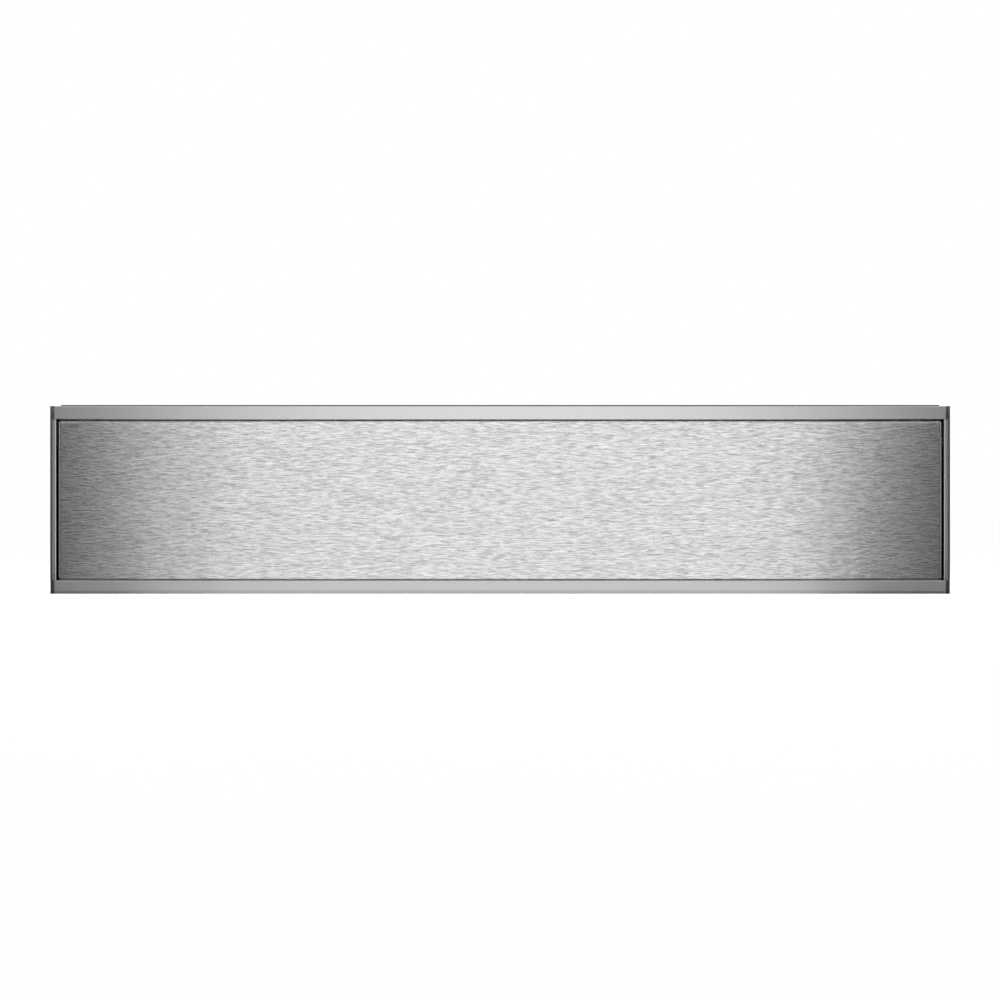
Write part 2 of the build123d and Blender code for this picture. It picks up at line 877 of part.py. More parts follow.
def push_latch_body():
    """Moulded latch body on the rear wall, with the bore that guides the plunger."""
    half = latch_width / 2
    low = latch_z - latch_height / 2
    body = along_y(rounded(-half, half, low, low + latch_height, 3), latch_front, latch_back)
    collar = drum(0, latch_z, plunger_radius + latch_collar)
    collar = along_y(collar, latch_front - latch_collar_height, latch_front)
    bore_end = plunger_tip + plunger_length + plunger_press + 1
    bore = along_y(disc(0, latch_z, plunger_radius + pin_clearance), latch_front - 2, bore_end)
    return body + collar - bore


def push_plunger():
    """Sprung plunger with a magnet in its tip."""
    outline = [
        (0, 0),
        (plunger_radius - 1.5, 0),
        (plunger_radius, 1.5),
        (plunger_radius, plunger_length),
        (0, plunger_length),
    ]
    return turned((0, plunger_tip, latch_z), (0, 1, 0), outline)


# Drawer front, tray and deck

def front_panel():
    """Front as a folded pan: rolled ends, rolled top and bottom folds and a return all round."""
    pan = along_z(rect(-panel_half, panel_half, panel_front, panel_back), panel_bottom, panel_top)
    level = pan.edges().group_by(Axis.Y)[0].filter_by(Axis.X)
    pan = fillet(level.sort_by(Axis.Z)[-1], panel_top_fold)
    level = pan.edges().filter_by(Axis.X).group_by(Axis.Z)[0].group_by(Axis.Y)[0]
    pan = fillet(level, panel_bottom_fold)
    upright = pan.edges().filter_by(Axis.Z).group_by(Axis.Y)[0]
    pan = fillet(upright, panel_end_fold)
    inset = panel_half - panel_sheet
    low, high = panel_bottom + panel_sheet, panel_top - panel_sheet
    cavity = along_y(rect(-inset, inset, low, high), panel_front + panel_sheet, panel_back - panel_sheet)
    inset -= panel_return
    window = rect(-inset, inset, low + panel_return, high - panel_return)
    return pan - cavity - along_y(window, panel_back - panel_sheet - 1, panel_back + 1)


def panel_carrier():
    """Plate that carries the front, with side flanges on the tray and two service windows."""
    outline = [
        (-tray_half - carrier_sheet, panel_back + carrier_flange),
        (-tray_half - carrier_sheet, panel_back),
        (tray_half + carrier_sheet, panel_back),
        (tray_half + carrier_sheet, panel_back + carrier_flange),
    ]
    plate = along_z(folded(outline, carrier_sheet, 0.0), carrier_bottom, carrier_top)
    flange_top = rect(-half_width, half_width, tray_front, frame_back)
    plate -= along_z(flange_top, deck_bottom - tray_sheet - 0.3, carrier_top + 1)
    middle = (carrier_bottom + deck_bottom) / 2
    for x in spread(3, -tray_half * 0.64, tray_half * 0.64):
        window = chamfer(rect(x - 66, x + 66, middle - 22, middle + 22).vertices(), 8)
        plate -= along_y(window, panel_back - 5, panel_back + 5)
    seats = [(x, z) for x in spread(4, -tray_half * 0.94, tray_half * 0.94) for z in (carrier_bottom + 8,)]
    plate -= [along_y(slit(x, z, 12, 4.4), panel_back - 5, panel_back + 5) for x, z in seats]
    return plate


def drawer_tray():
    """Folded tray with out-turned side flanges, a fan hole and cooling slots."""
    flange_level = deck_bottom - tray_sheet
    outline = [
        (-tray_half - tray_flange, flange_level),
        (-tray_half, flange_level),
        (-tray_half, tray_bottom),
        (tray_half, tray_bottom),
        (tray_half, flange_level),
        (tray_half + tray_flange, flange_level),
    ]
    tray = along_y(folded(outline, tray_sheet, 0.3), tray_front, tray_back)
    end = rect(-tray_inside, tray_inside, tray_bottom + 0.5, deck_bottom - 0.3)
    tray += along_y(end, tray_front, tray_front + tray_sheet)
    tray += along_y(end, tray_back - tray_sheet, tray_back)
    tray -= along_y(drum_hole(fan_x, fan_z, fan_wall_hole), tray_back - 5, tray_back + 5)
    rear = [slit(x, fan_z + 6, 40, 4, 90) for x in spread(7, transformer_x - 36, transformer_x + 30)]
    tray -= [along_y(shape, tray_back - 5, tray_back + 5) for shape in rear]
    places = spread(8, pump_x - 42, pump_x + 42)
    vents = [slit(x, motor_back - 40, 46, 4, 90) for x in places]
    places = spread(7, power_board_x - 40, power_board_x + 40)
    vents += [slit(x, power_board_y, 46, 4, 90) for x in places]
    return tray - [along_z(shape, tray_bottom - 2, tray_floor + 2) for shape in vents]


def deck_screw_places():
    """Centres of the screws along both sides of the deck."""
    x = tray_half + tray_flange / 2
    return [(side * x, y) for side in (-1, 1) for y in spread(4, tray_front + 24, tray_back - 24)]


def deck_plate():
    """Stainless deck with the chamber cut-out, vents over the pump and a turned-down rear lip."""
    outline = [
        (tray_front, deck_top),
        (tray_back + deck_sheet, deck_top),
        (tray_back + deck_sheet, deck_top - deck_rear_lip),
    ]
    reach = tray_half + tray_flange
    section = folded(list(reversed(outline)), deck_sheet, 0.0)
    deck = along_x(section, -reach, reach)
    grow = groove_inset + groove_width + chamber_sheet + 0.5
    half = chamber_width / 2 + grow
    corner = chamber_corner + grow
    cut_out = rounded(
        chamber_offset - half,
        chamber_offset + half,
        chamber_front - grow,
        chamber_back + grow,
        corner,
    )
    touch_half = board_length / 2 - 6
    touch = rect(-touch_half, touch_half, board_front + 4, board_front + board_width - 4)
    port = drum(port_x, port_y, port_stem + 0.1)
    vents = [slit(pump_x, y, 70, 4.5) for y in spread(9, pump_back + 14, motor_back - 10)]
    places = spread(9, transformer_x - 40, transformer_x + 40)
    vents += [slit(x, tray_back - 44, 40, 4.5, 90) for x in places]
    cuts = [cut_out, touch, port] + vents
    deck -= [along_z(shape, deck_bottom - 2, deck_top + 2) for shape in cuts]
    return deck - [screw_hole((x, y, deck_top), (0, 0, -1), deck_sheet) for x, y in deck_screw_places()]


def deck_screws():
    """Screws that hold the deck on the tray's flanges."""
    return [screw((x, y, deck_top), (0, 0, -1), deck_sheet) for x, y in deck_screw_places()]


# Control strip

board_front = control_front + (control_depth - board_width) / 2


def control_glass():
    """Dark glass strip with eased edges, bonded on the deck."""
    section = rounded(-control_half, control_half, control_front, control_back, 3)
    glass = along_z(section, deck_top, deck_top + control_glass_height)
    return chamfer(glass.edges().group_by(Axis.Z)[-1], 0.6)


def control_board():
    """Touch board under the deck, with its display, keys and plug."""
    half = board_length / 2
    low = deck_bottom - board_sheet
    board = along_z(rect(-half, half, board_front, board_front + board_width), low, deck_bottom)
    middle = board_front + board_width / 2
    places = spread(4, 36 - half, half - 60)
    chips = [along_z(rect(x - 6, x + 6, middle - 6, middle + 6), low - 2, low) for x in places]
    plug = along_z(rect(half - 24, half - 6, middle - 5, middle + 5), low - 8, low)
    keys = [rect(x - 5, x + 5, middle - 5, middle + 5) for x in spread(7, 24 - half, half - 24)]
    springs = [along_z(shape, deck_bottom, deck_top) for shape in keys]
    return [board + chips + [plug]] + springs


# Vacuum chamber

def chamber_outline(grow):
    """Plan of the chamber, grown on every side, with its corners kept round."""
    half = chamber_width / 2 + grow
    return rounded(
        chamber_offset - half,
        chamber_offset + half,
        chamber_front - grow,
        chamber_back + grow,
        chamber_corner + grow,
    )


def vacuum_chamber():
    """Deep-drawn tub with a coved floor, a flat rim, a pressed seal groove and floor ribs."""
    tub = along_z(chamber_outline(chamber_sheet), chamber_floor, rim_top)
    tub = chamfer(tub.edges().group_by(Axis.Z)[0], chamber_cove * 0.6)
    half = chamber_width / 2 + rim_width
    rim = rounded(
        chamber_offset - half,
        chamber_offset + half,
        chamber_front - rim_width,
        chamber_back + rim_width,
        rim_corner,
    )
    groove_outside = groove_inset + groove_width
    groove_level = rim_top - groove_depth
    pressed = chamber_outline(groove_outside + chamber_sheet)
    pressed -= chamber_outline(groove_inset - chamber_sheet)
    groove = chamber_outline(groove_outside) - chamber_outline(groove_inset)
    cavity = along_z(chamber_outline(0), chamber_floor_top, rim_top + 5)
    cavity = fillet(cavity.edges().group_by(Axis.Z)[0], chamber_cove)
    body = tub + along_z(rim, deck_top, rim_top) + along_z(pressed, groove_level - chamber_sheet, rim_top)
    for y in spread(3, chamber_front + 60, chamber_back - 60):
        low = chamber_floor - floor_rib_height
        wide = floor_rib_width / 2
        rib = outlined(
            (y - wide + 3, low),
            (y + wide - 3, low),
            (y + wide, chamber_floor),
            (y - wide, chamber_floor),
        )
        body += along_x(rib, chamber_left + 30, chamber_left + chamber_width - 30)
    body -= [cavity, along_z(groove, groove_level, rim_top + 1)]
    start = (chamber_left - 5, suction_y, suction_z)
    return body - prism(start, (1, 0, 0), 10, suction_radius + 0.1, small_round)


def chamber_seal():
    """Silicone seal in the groove, with a bevelled crown just under the glass."""
    ring = chamber_outline(groove_inset + groove_width - seal_clearance)
    ring -= chamber_outline(groove_inset + seal_clearance)
    seal = along_z(ring, rim_top - groove_depth, glass_bottom - seal_gap)
    return chamfer(seal.edges().group_by(Axis.Z)[-1], seal_bevel)


def suction_filter():
    """Slotted suction cap inside the chamber, clamped through its wall, with an elbow outside."""
    outside = chamber_left - chamber_sheet
    start = (chamber_left + suction_cap_height, suction_y, suction_z)
    cap = prism(start, (-1, 0, 0), suction_cap_height, suction_radius + suction_cap_rim, wide_round)
    cap = chamfer(cap.edges().group_by(Axis.X)[-1], suction_cap_bevel)
    cap += prism(start, (-1, 0, 0), suction_length, suction_radius, small_round)
    cap += prism((outside, suction_y, suction_z), (-1, 0, 0), 5, suction_radius + 4)
    slots = [slit(y, suction_z, 18, 2.4, 90) for y in spread(4, suction_y - 7.5, suction_y + 7.5)]
    cap -= [along_x(shape, chamber_left + 3, chamber_left + 8) for shape in slots]
    elbow_x = outside - 9
    elbow = drum(elbow_x, suction_z, hose_bore + spigot_shoulder, small_round)
    elbow = along_y(elbow, suction_y - 5, hose_start_y)
    spigot = drum(elbow_x, suction_z, hose_bore - spigot_clearance, small_round)
    spigot = along_y(spigot, hose_start_y, hose_start_y + spigot_length)
    return cap + elbow + spigot


def lift_cylinders():
    """Two pneumatic cylinders on the chamber floor, bored for the pistons."""
    cylinders = []
    bore = cylinder_radius - cylinder_wall
    low, high = chamber_floor_top, chamber_floor_top + cylinder_height
    for x in rod_places():
        cylinder = along_z(drum(x, bar_y, cylinder_radius), low, high)
        cylinder -= along_z(disc(x, bar_y, bore), low + cylinder_wall, high - cylinder_wall)
        cylinder -= along_z(disc(x, bar_y, rod_radius + pin_clearance), high - cylinder_wall - 1, high + 1)
        cylinders.append(cylinder)
    return cylinders


def rod_places():
    """X of the two piston rods."""
    return [chamber_offset - rod_spacing / 2, chamber_offset + rod_spacing / 2]


def sealing_bar():
    """Aluminium bar with a channel each side, on two pistons."""
    half = bar_width / 2
    section = rounded(bar_y - half, bar_y + half, bar_bottom, bar_top, 1)
    middle = (bar_bottom + bar_top) / 2
    for side in (-1, 1):
        section -= rect(*sorted((bar_y + side * half, bar_y + side * (half - 2))), middle - 3, middle + 3)
    bar = along_x(section, chamber_offset - bar_length / 2, chamber_offset + bar_length / 2)
    pieces = [bar]
    piston_low = chamber_floor_top + cylinder_wall + 2
    piston = cylinder_radius - cylinder_wall - piston_clearance
    for x in rod_places():
        outline = [
            (0, 0),
            (piston, 0),
            (piston, piston_height),
            (rod_radius, piston_height),
            (rod_radius, bar_bottom - piston_low),
            (0, bar_bottom - piston_low),
        ]
        pieces.append(turned((x, bar_y, piston_low), (0, 0, 1), outline))
    return pieces


def heating_strip():
    """Insulated band on the bar with two raised heating wires."""
    half = strip_width / 2
    section = rect(bar_y - half, bar_y + half, bar_top, bar_top + strip_height / 2)
    for side in (-1, 1):
        centre = bar_y + side * half / 2
        section += rounded(centre - 1.2, centre + 1.2, bar_top + 0.2, strip_top, 0.5)
    inset = bar_length / 2 - 2
    return along_x(section, chamber_offset - inset, chamber_offset + inset)


# Glass lid and its hinge

def lid_glass():
    """Thick toughened glass lid with round corners and ground edges."""
    half = lid_width / 2
    plan = rounded(chamber_offset - half, chamber_offset + half, lid_front, lid_back, glass_corner)
    glass = along_z(plan, glass_bottom, glass_top)
    return chamfer(glass.edges().filter_by(Plane.XY), glass_chamfer)


def arm_places():
    """X of the middle of the two hinge arms."""
    return [chamber_offset - arm_spacing / 2, chamber_offset + arm_spacing / 2]


def lid_hinge_arms():
    """Two cast arms bonded on the glass, each with a bored knuckle behind its rear edge."""
    top = glass_top + arm_plate
    rear = lid_back + 0.3
    plate = outlined(
        (lid_back - arm_reach, glass_top),
        (rear, glass_top),
        (rear, hinge_z - 4),
        (hinge_y, hinge_z - knuckle_radius * 0.9),
        (hinge_y + knuckle_radius * 0.8, hinge_z + knuckle_radius * 0.6),
        (rear + 1, top),
        (lid_back - arm_reach + 2, top),
    )
    section = Sketch() + plate + disc(hinge_y, hinge_z, knuckle_radius)
    section -= disc(hinge_y, hinge_z, hinge_pin_radius + pin_clearance)
    half = arm_width / 2
    return [along_x(section, x - half, x + half) for x in arm_places()]


def hinge_brackets():
    """Two brackets behind the chamber rim, each with two ears for a hinge pin."""
    brackets = []
    front = chamber_back + rim_width + 1
    back = hinge_y + ear_radius + 6
    inner = arm_width / 2 + ear_gap
    outer = inner + ear_sheet
    base_level = deck_top + bracket_plate
    ear = disc(hinge_y, hinge_z, ear_radius)
    ear += outlined(
        (hinge_y - ear_radius, base_level - 0.5),
        (back, base_level - 0.5),
        (hinge_y + ear_radius * 0.9, hinge_z + ear_radius * 0.4),
        (hinge_y - ear_radius, hinge_z),
    )
    ear -= disc(hinge_y, hinge_z, hinge_pin_radius + pin_clearance)
    for x in arm_places():
        base = along_z(rect(x - outer - 6, x + outer + 6, front, back), deck_top, base_level)
        base += along_x(ear, x + inner, x + outer)
        base += along_x(ear, x - outer, x - inner)
        brackets.append(base)
    return brackets


def hinge_pins():
    """Headed pins that carry the lid."""
    pins = []
    reach = arm_width / 2 + ear_gap + ear_sheet
    for x in arm_places():
        outline = [
            (0, 0),
            (hinge_pin_radius + 1.5, 0),
            (hinge_pin_radius + 1.5, 1.5),
            (hinge_pin_radius, 1.5),
            (hinge_pin_radius, 2 * reach + 3),
            (0, 2 * reach + 3),
        ]
        pins.append(turned((x - reach - 1.5, hinge_y, hinge_z), (1, 0, 0), outline))
    return pins


def counter_strip():
    """Silicone counter strip under the glass, right above the sealing bar."""
    half = counter_width / 2
    section = rect(bar_y - half, bar_y + half, counter_bottom, glass_bottom)
    section = fillet(section.vertices().group_by(Axis.Y)[0], 1.2)
    return along_x(section, chamber_offset - counter_length / 2, chamber_offset + counter_length / 2)


# External vacuum port

cap_bottom = deck_top + port_height + 0.3
cap_axis_y = port_y + port_radius + 2.5
cap_axis_z = cap_bottom + cap_height / 2


def vacuum_port():
    """Port for outside containers: a flange, a bored stem through the deck, and lugs for the cap."""
    top = deck_top + port_height
    flange = along_z(drum(port_x, port_y, port_radius), deck_top, top)
    body = chamfer(flange.edges().group_by(Axis.Z)[-1], 1)
    body += along_z(drum(port_x, port_y, port_stem), deck_top - port_stem_length, deck_top)
    body -= along_z(disc(port_x, port_y, port_bore), deck_top - port_stem_length - 1, top + 1)
    width = cap_lug_width / 2
    lug = drum(cap_axis_y, cap_axis_z, 2.6, small_round)
    lug += rect(cap_axis_y - 2.6, cap_axis_y + 2.6, deck_top, cap_axis_z)
    lug += rect(cap_axis_y - 8, cap_axis_y, deck_top, deck_top + port_height - 1)
    for side in (-1, 1):
        start, end = sorted((port_x + side * (width + 0.3), port_x + side * (width + 2.8)))
        body += along_x(lug, start, end)
    pin = disc(cap_axis_y, cap_axis_z, cap_pin_radius)
    return body + along_x(pin, port_x - width - 1, port_x + width + 1)


def port_cap():
    """Cap that flips back on the port's pin."""
    body = along_z(drum(port_x, port_y, cap_radius), cap_bottom, cap_bottom + cap_height)
    body = chamfer(body.edges().group_by(Axis.Z)[-1], 0.8)
    width = cap_lug_width / 2
    arm = rect(port_y + cap_radius - 3, cap_axis_y, cap_bottom + 0.2, cap_bottom + cap_height - 0.2)
    arm += drum(cap_axis_y, cap_axis_z, 2.5, small_round)
    arm -= disc(cap_axis_y, cap_axis_z, cap_pin_radius + pin_clearance)
    tab = along_z(slit(port_x, port_y - cap_radius, 10, 6), cap_bottom, cap_bottom + 1.6)
    return body + along_x(arm, port_x - width, port_x + width) + tab


# Vacuum pump

def pump_head():
    """Finned cast pump head with an eccentric bore and an inlet spigot."""
    half = pump_head_width / 2
    low = pump_axis_z - pump_head_height / 2
    section = chamfer(rect(pump_x - half, pump_x + half, low, low + pump_head_height).vertices(), 8)
    fins = [rect(pump_x - half - 1, pump_x - half + 5, z, z + 3) for z in spread(5, low + 12, low + 46)]
    body = along_y(section, pump_front, pump_back)
    body -= [along_y(shape, pump_front + 8, pump_back - 8) for shape in fins]
    bore = drum_hole(pump_x, pump_axis_z - pump_eccentricity, pump_bore)
    body -= along_y(bore, pump_back - pump_bore_depth, pump_back + 1)
    body += lugs(pump_front + 12)
    inlet = (pump_x + half - 1, inlet_y, inlet_z)
    body += prism(inlet, (1, 0, 0), feed_x + hose_radius - inlet[0], hose_radius, small_round)
    turn = (feed_x, inlet_y, inlet_z)
    body += prism(turn, (0, 1, 0), elbow_length, hose_bore + spigot_shoulder, small_round)
    reach = elbow_length + spigot_length
    return body + prism(turn, (0, 1, 0), reach, hose_bore - spigot_clearance, small_round)


def lugs(y):
    """Foot across the pump at one Y, with an ear each side that stands on a rubber mount."""
    half = mount_spacing_x / 2 + mount_radius
    foot = chamfer(rect(pump_x - half, pump_x + half, y - mount_radius, y + mount_radius).vertices(), 4)
    return along_z(foot, lug_bottom, lug_bottom + lug_height)


def motor_housing():
    """Finned motor barrel with two end shields, bored for the shaft and the core."""
    radius = motor_radius
    barrel = drum(pump_x, pump_axis_z, radius)
    height = motor_fin_height + 1
    for index in range(motor_fin_count):
        angle = 360 * (index + 0.5) / motor_fin_count
        fin = Pos(radius + height / 2 - 1, 0) * Rectangle(height, motor_fin_thickness)
        barrel += Pos(pump_x, pump_axis_z) * Rot(0, 0, angle) * fin
    body = along_y(drum(pump_x, pump_axis_z, radius), pump_back, motor_back)
    body += along_y(barrel, pump_back + end_shield, motor_back - end_shield)
    cavity = drum(pump_x, pump_axis_z, motor_cavity)
    body -= along_y(cavity, pump_back + end_shield, motor_back - end_shield)
    core_start = (pump_back + motor_back - motor_core_length) / 2
    stator = drum(pump_x, pump_axis_z, motor_cavity + 0.5)
    stator -= drum_hole(pump_x, pump_axis_z, motor_core_radius + air_gap)
    body += along_y(stator, core_start, core_start + motor_core_length)
    bore = disc(pump_x, pump_axis_z, shaft_radius + shaft_clearance)
    foot = lugs(motor_back - 20)
    foot -= along_y(drum(pump_x, pump_axis_z, radius - 1), pump_back, motor_back)
    return body + foot - along_y(bore, pump_back - 1, motor_back + 1)


def pump_rotor():
    """Shaft with the vane rotor, its vanes, the motor core and the fan wheel."""
    bore_start = pump_back - pump_bore_depth
    shaft = along_y(disc(pump_x, pump_axis_z, shaft_radius), bore_start + rotor_end_gap, cowl_back - 8)
    ring = RegularPolygon(vane_rotor_radius, wide_round) - Circle(shaft_radius)
    vanes = []
    start, end = bore_start + rotor_end_gap, pump_back - rotor_end_gap
    centre = Pos(pump_x, pump_axis_z)
    for index in range(vane_count):
        turn = Rot(0, 0, 90 + 360 * index / vane_count)
        middle = vane_rotor_radius - vane_depth / 2
        slot = Rectangle(vane_depth + 1 + vane_clearance, vane_thickness + 2 * vane_clearance)
        ring -= turn * Pos(middle + 0.5, 0) * slot
        vane = Pos(middle, 0) * Rectangle(vane_depth, vane_thickness)
        vanes.append(along_y(centre * turn * vane, start, end))
    rotor = along_y(centre * ring, start, end)
    core = centre * (RegularPolygon(motor_core_radius, wide_round) - Circle(shaft_radius))
    core_start = (pump_back + motor_back - motor_core_length) / 2
    core = along_y(core, core_start, core_start + motor_core_length)
    fan_start = motor_back + 5
    hub = centre * (RegularPolygon(pump_fan_hub, wide_round) - Circle(shaft_radius))
    wheel = along_y(hub, fan_start, fan_start + pump_fan_length)
    web = RegularPolygon(pump_fan_radius, wide_round) - RegularPolygon(pump_fan_hub - 1, wide_round)
    wheel += along_y(centre * web, fan_start, fan_start + pump_fan_sheet)
    for index in range(pump_fan_blades):
        middle = (pump_fan_hub + pump_fan_radius - 1) / 2
        blade = Pos(middle, 0) * Rectangle(pump_fan_radius - pump_fan_hub, pump_fan_sheet)
        blade = centre * Rot(0, 0, 360 * index / pump_fan_blades) * blade
        wheel += along_y(blade, fan_start + 1, fan_start + pump_fan_length)
    return [shaft, rotor, core, wheel] + vanes


def fan_cowl():
    """Cup over the motor's fan wheel, with an air inlet of round-ended slots."""
    cup = along_y(drum(pump_x, pump_axis_z, cowl_radius), motor_back, cowl_back)
    cup = chamfer(cup.edges().group_by(Axis.Y)[-1], 3)
    inside = drum(pump_x, pump_axis_z, cowl_radius - cowl_sheet)
    inside = along_y(inside, motor_back - 1, cowl_back - cowl_sheet)
    seat = drum(pump_x, pump_axis_z, cowl_radius - cowl_sheet / 2) - drum(pump_x, pump_axis_z, motor_radius)
    cup = cup - inside + along_y(seat, motor_back, motor_back + 2)
    slots = [Pos(pump_x, pump_axis_z) * Rot(0, 0, 45 * index) * slit(19, 0, 20, 4) for index in range(8)]
    return cup - [along_y(shape, cowl_back - 4, cowl_back + 1) for shape in slots]


def pump_mounts():
    """Four rubber mounts between the pump's feet and the tray."""
    places = [
        (pump_x + side * mount_spacing_x / 2, y)
        for side in (-1, 1)
        for y in (pump_front + 12, motor_back - 20)
    ]
    seats = [(x, y, tray_floor) for x, y in places]
    return [prism(seat, (0, 0, 1), mount_height, mount_radius, small_round) for seat in seats]


def exhaust_filter():
    """Oil mist filter can in two saddles, with a spigot into the pump head."""
    start = (filter_x, filter_front, filter_z)
    can = prism(start, (0, 1, 0), filter_length, filter_radius, wide_round)
    for end in (0, -1):
        can = chamfer(can.edges().group_by(Axis.Y)[end], filter_end_radius)
    can += prism(start, (0, 1, 0), pump_front - filter_front, filter_neck, small_round)
    half = filter_radius * 0.8
    saddle = rect(filter_x - half, filter_x + half, tray_floor, filter_z - 8)
    for y in (filter_front + 16, filter_front + filter_length - 24):
        can += along_y(saddle, y, y + 8)
    return can


# Rear compartment

def cooling_fan():
    """Square fan frame on the tray's rear wall, with a motor hub on four arms."""
    back = tray_back - tray_sheet
    front = back - fan_frame_length
    half = fan_size / 2
    frame = chamfer(rect(fan_x - half, fan_x + half, fan_z - half, fan_z + half).vertices(), 4)
    frame -= drum_hole(fan_x, fan_z, fan_bore)
    frame -= [drum(fan_x + u, fan_z + v, 2.3, 6) for u in (-25, 25) for v in (-25, 25)]
    hub = drum(fan_x, fan_z, fan_hub + 1)
    arms = rect(fan_x - fan_bore - 1, fan_x + fan_bore + 1, fan_z - 1.2, fan_z + 1.2)
    arms += rect(fan_x - 1.2, fan_x + 1.2, fan_z - fan_bore - 1, fan_z + fan_bore + 1)
    pin = along_y(disc(fan_x, fan_z, 1.5), front + 4, back - 2)
    foot = rect(fan_x - 14, fan_x + 14, tray_floor, fan_z - half + 1)
    foot -= rect(fan_x - 9, fan_x + 9, tray_floor - 1, fan_z - half)
    return along_y(frame + foot, front, back) + along_y(hub + arms, back - 2.5, back) + pin


def fan_impeller():
    """Fan wheel with pitched blades on a bored hub."""
    front = tray_back - tray_sheet - fan_frame_length
    length = fan_frame_length - 4.5
    tip = fan_bore - fan_tip_gap
    hub = along_y(drum(fan_x, fan_z, fan_hub), front + 0.8, front + 0.8 + length)
    wheel = hub - along_y(disc(fan_x, fan_z, 1.5 + pin_clearance), front + 3.5, front + 20)
    middle = front + 0.8 + length / 2
    limit = drum(fan_x, fan_z, tip) - drum(fan_x, fan_z, fan_hub - 1)
    limit = along_y(limit, front + 1, front + 0.5 + length)
    blades = []
    for index in range(fan_blades):
        turn = Rot(0, 360 * index / fan_blades, 0)
        blade = Rot(42, 0, 0) * Box(tip, 11, 1.4)
        blade = Pos(fan_x, middle, fan_z) * turn * Pos(tip / 2, 0, 0) * blade
        blades.append(blade & limit)
    return wheel + blades


def transformer():
    """Laminated core with its winding and two mounting feet."""
    half = core_width / 2
    low = tray_floor + 3
    high = low + core_height
    front = transformer_y - core_depth / 2
    back = transformer_y + core_depth / 2
    core = rect(transformer_x - half, transformer_x + half, low, high)
    window_low, window_high = low + core_limb / 2, high - core_limb / 2
    windows = []
    for side in (-1, 1):
        edges = [transformer_x + side * reach for reach in (core_limb / 2, half - core_limb / 2)]
        windows.append(rect(*sorted(edges), window_low, window_high))
    stack = along_y(core - windows, front, back)
    feet_part = along_z(
        rect(transformer_x - half - 8, transformer_x + half + 8, front + 4, back - 4), tray_floor, low
    )
    reach = half - core_limb / 2 - 1
    depth = coil_depth / 2
    x0, y0 = transformer_x, transformer_y
    coil = rounded(x0 - reach, x0 + reach, y0 - depth, y0 + depth, 6)
    coil -= rect(transformer_x - core_limb / 2, transformer_x + core_limb / 2, front, back)
    winding = along_z(coil, window_low + 1, window_high - 1)
    return [stack + feet_part, winding]


def power_board():
    """Circuit board on four posts, with capacitors, relays, a heat sink and plugs."""
    half_x, half_y = power_board_length / 2, power_board_width / 2
    x0, y0 = power_board_x, power_board_y
    low = tray_floor + standoff_height
    top = low + board_sheet
    board = along_z(rect(x0 - half_x, x0 + half_x, y0 - half_y, y0 + half_y), low, top)
    posts = [
        prism((x0 + u * (half_x - 6), y0 + v * (half_y - 6), tray_floor), (0, 0, 1), standoff_height, 3)
        for u in (-1, 1)
        for v in (-1, 1)
    ]
    capacitors = [prism((x0 + 40, y0 + v, top), (0, 0, 1), 30, 9, small_round) for v in (-22, 2)]
    relays = [rect(x - 7, x + 7, y0 - 32, y0 - 6) for x in (x0 - 44, x0 - 24, x0 - 4)]
    relays = [along_z(shape, top, top + 16) for shape in relays]
    sink = rect(x0 - 50, x0 + 10, top, top + 5)
    sink += [rect(x - 1, x + 1, top + 4, top + 26) for x in spread(7, x0 - 49, x0 + 9)]
    plugs = along_z(rect(x0 + 20, x0 + 58, y0 + 22, y0 + 34), top, top + 11)
    return [board] + posts + capacitors + relays + [along_y(sink, y0 + 4, y0 + 30), plugs]


def valve_block():
    """Valve block with three solenoids and two hose spigots."""
    half = valve_length / 2
    front, back = valve_y - valve_width / 2, valve_y + valve_width / 2
    top = tray_floor + valve_height
    block = along_z(rect(valve_x - half, valve_x + half, front, back), tray_floor, top)
    bore = hose_bore - spigot_clearance
    for x, z in ((hose_x, valve_port_z), (feed_x, valve_port_z)):
        block += along_y(disc(x, z, bore), front - spigot_length, front)
    coils = []
    for x in spread(3, valve_x - 25, valve_x + 25):
        square = Pos(x, valve_y) * Rectangle(2 * coil_radius, 2 * coil_radius)
        coil = along_z(square, top, top + coil_height)
        coils.append(coil + prism((x, valve_y, top + coil_height), (0, 0, 1), 5, 5))
    return [block] + coils


hose_start_y = suction_y + 14
valve_port_z = tray_floor + valve_height * 0.7
inlet_y = (pump_front + pump_back) / 2
inlet_z = pump_axis_z + 10


def hose(points, radii):
    """Hose of straight runs and tangent arcs, with its bore."""
    path = FilletPolyline(*points, radius=radii)
    start = Plane(origin=path @ 0, z_dir=path % 0)
    outside = sweep(start * RegularPolygon(hose_radius, hose_sides), path=path)
    return outside - sweep(start * RegularPolygon(hose_bore, hose_sides, major_radius=False), path=path)


def hoses():
    """Suction hose from chamber to valve block, and feed hose from valve block to pump head."""
    valve_front = valve_y - valve_width / 2
    suction = [
        (hose_x, hose_start_y, suction_z),
        (hose_x, hose_start_y + 18, suction_z),
        (hose_x, valve_front - 16, valve_port_z),
        (hose_x, valve_front, valve_port_z),
    ]
    feed_end = inlet_y + elbow_length
    feed = [
        (feed_x, valve_front, valve_port_z),
        (feed_x, feed_end + 70, valve_port_z),
        (feed_x, feed_end + 20, inlet_z),
        (feed_x, feed_end, inlet_z),
    ]
    return [hose(suction, [30, 30]), hose(feed, [60, 30])]


# Export

def save(name, pieces):
    """Write one node's solids to its STEP file."""
    shapes = pieces if isinstance(pieces, list) else [pieces]
    solids = [solid for shape in shapes for solid in shape.solids()]
    whole = solids[0] if len(solids) == 1 else Compound(solids)
    whole.label = name
    export_step(whole, f"parts/{name}.step")


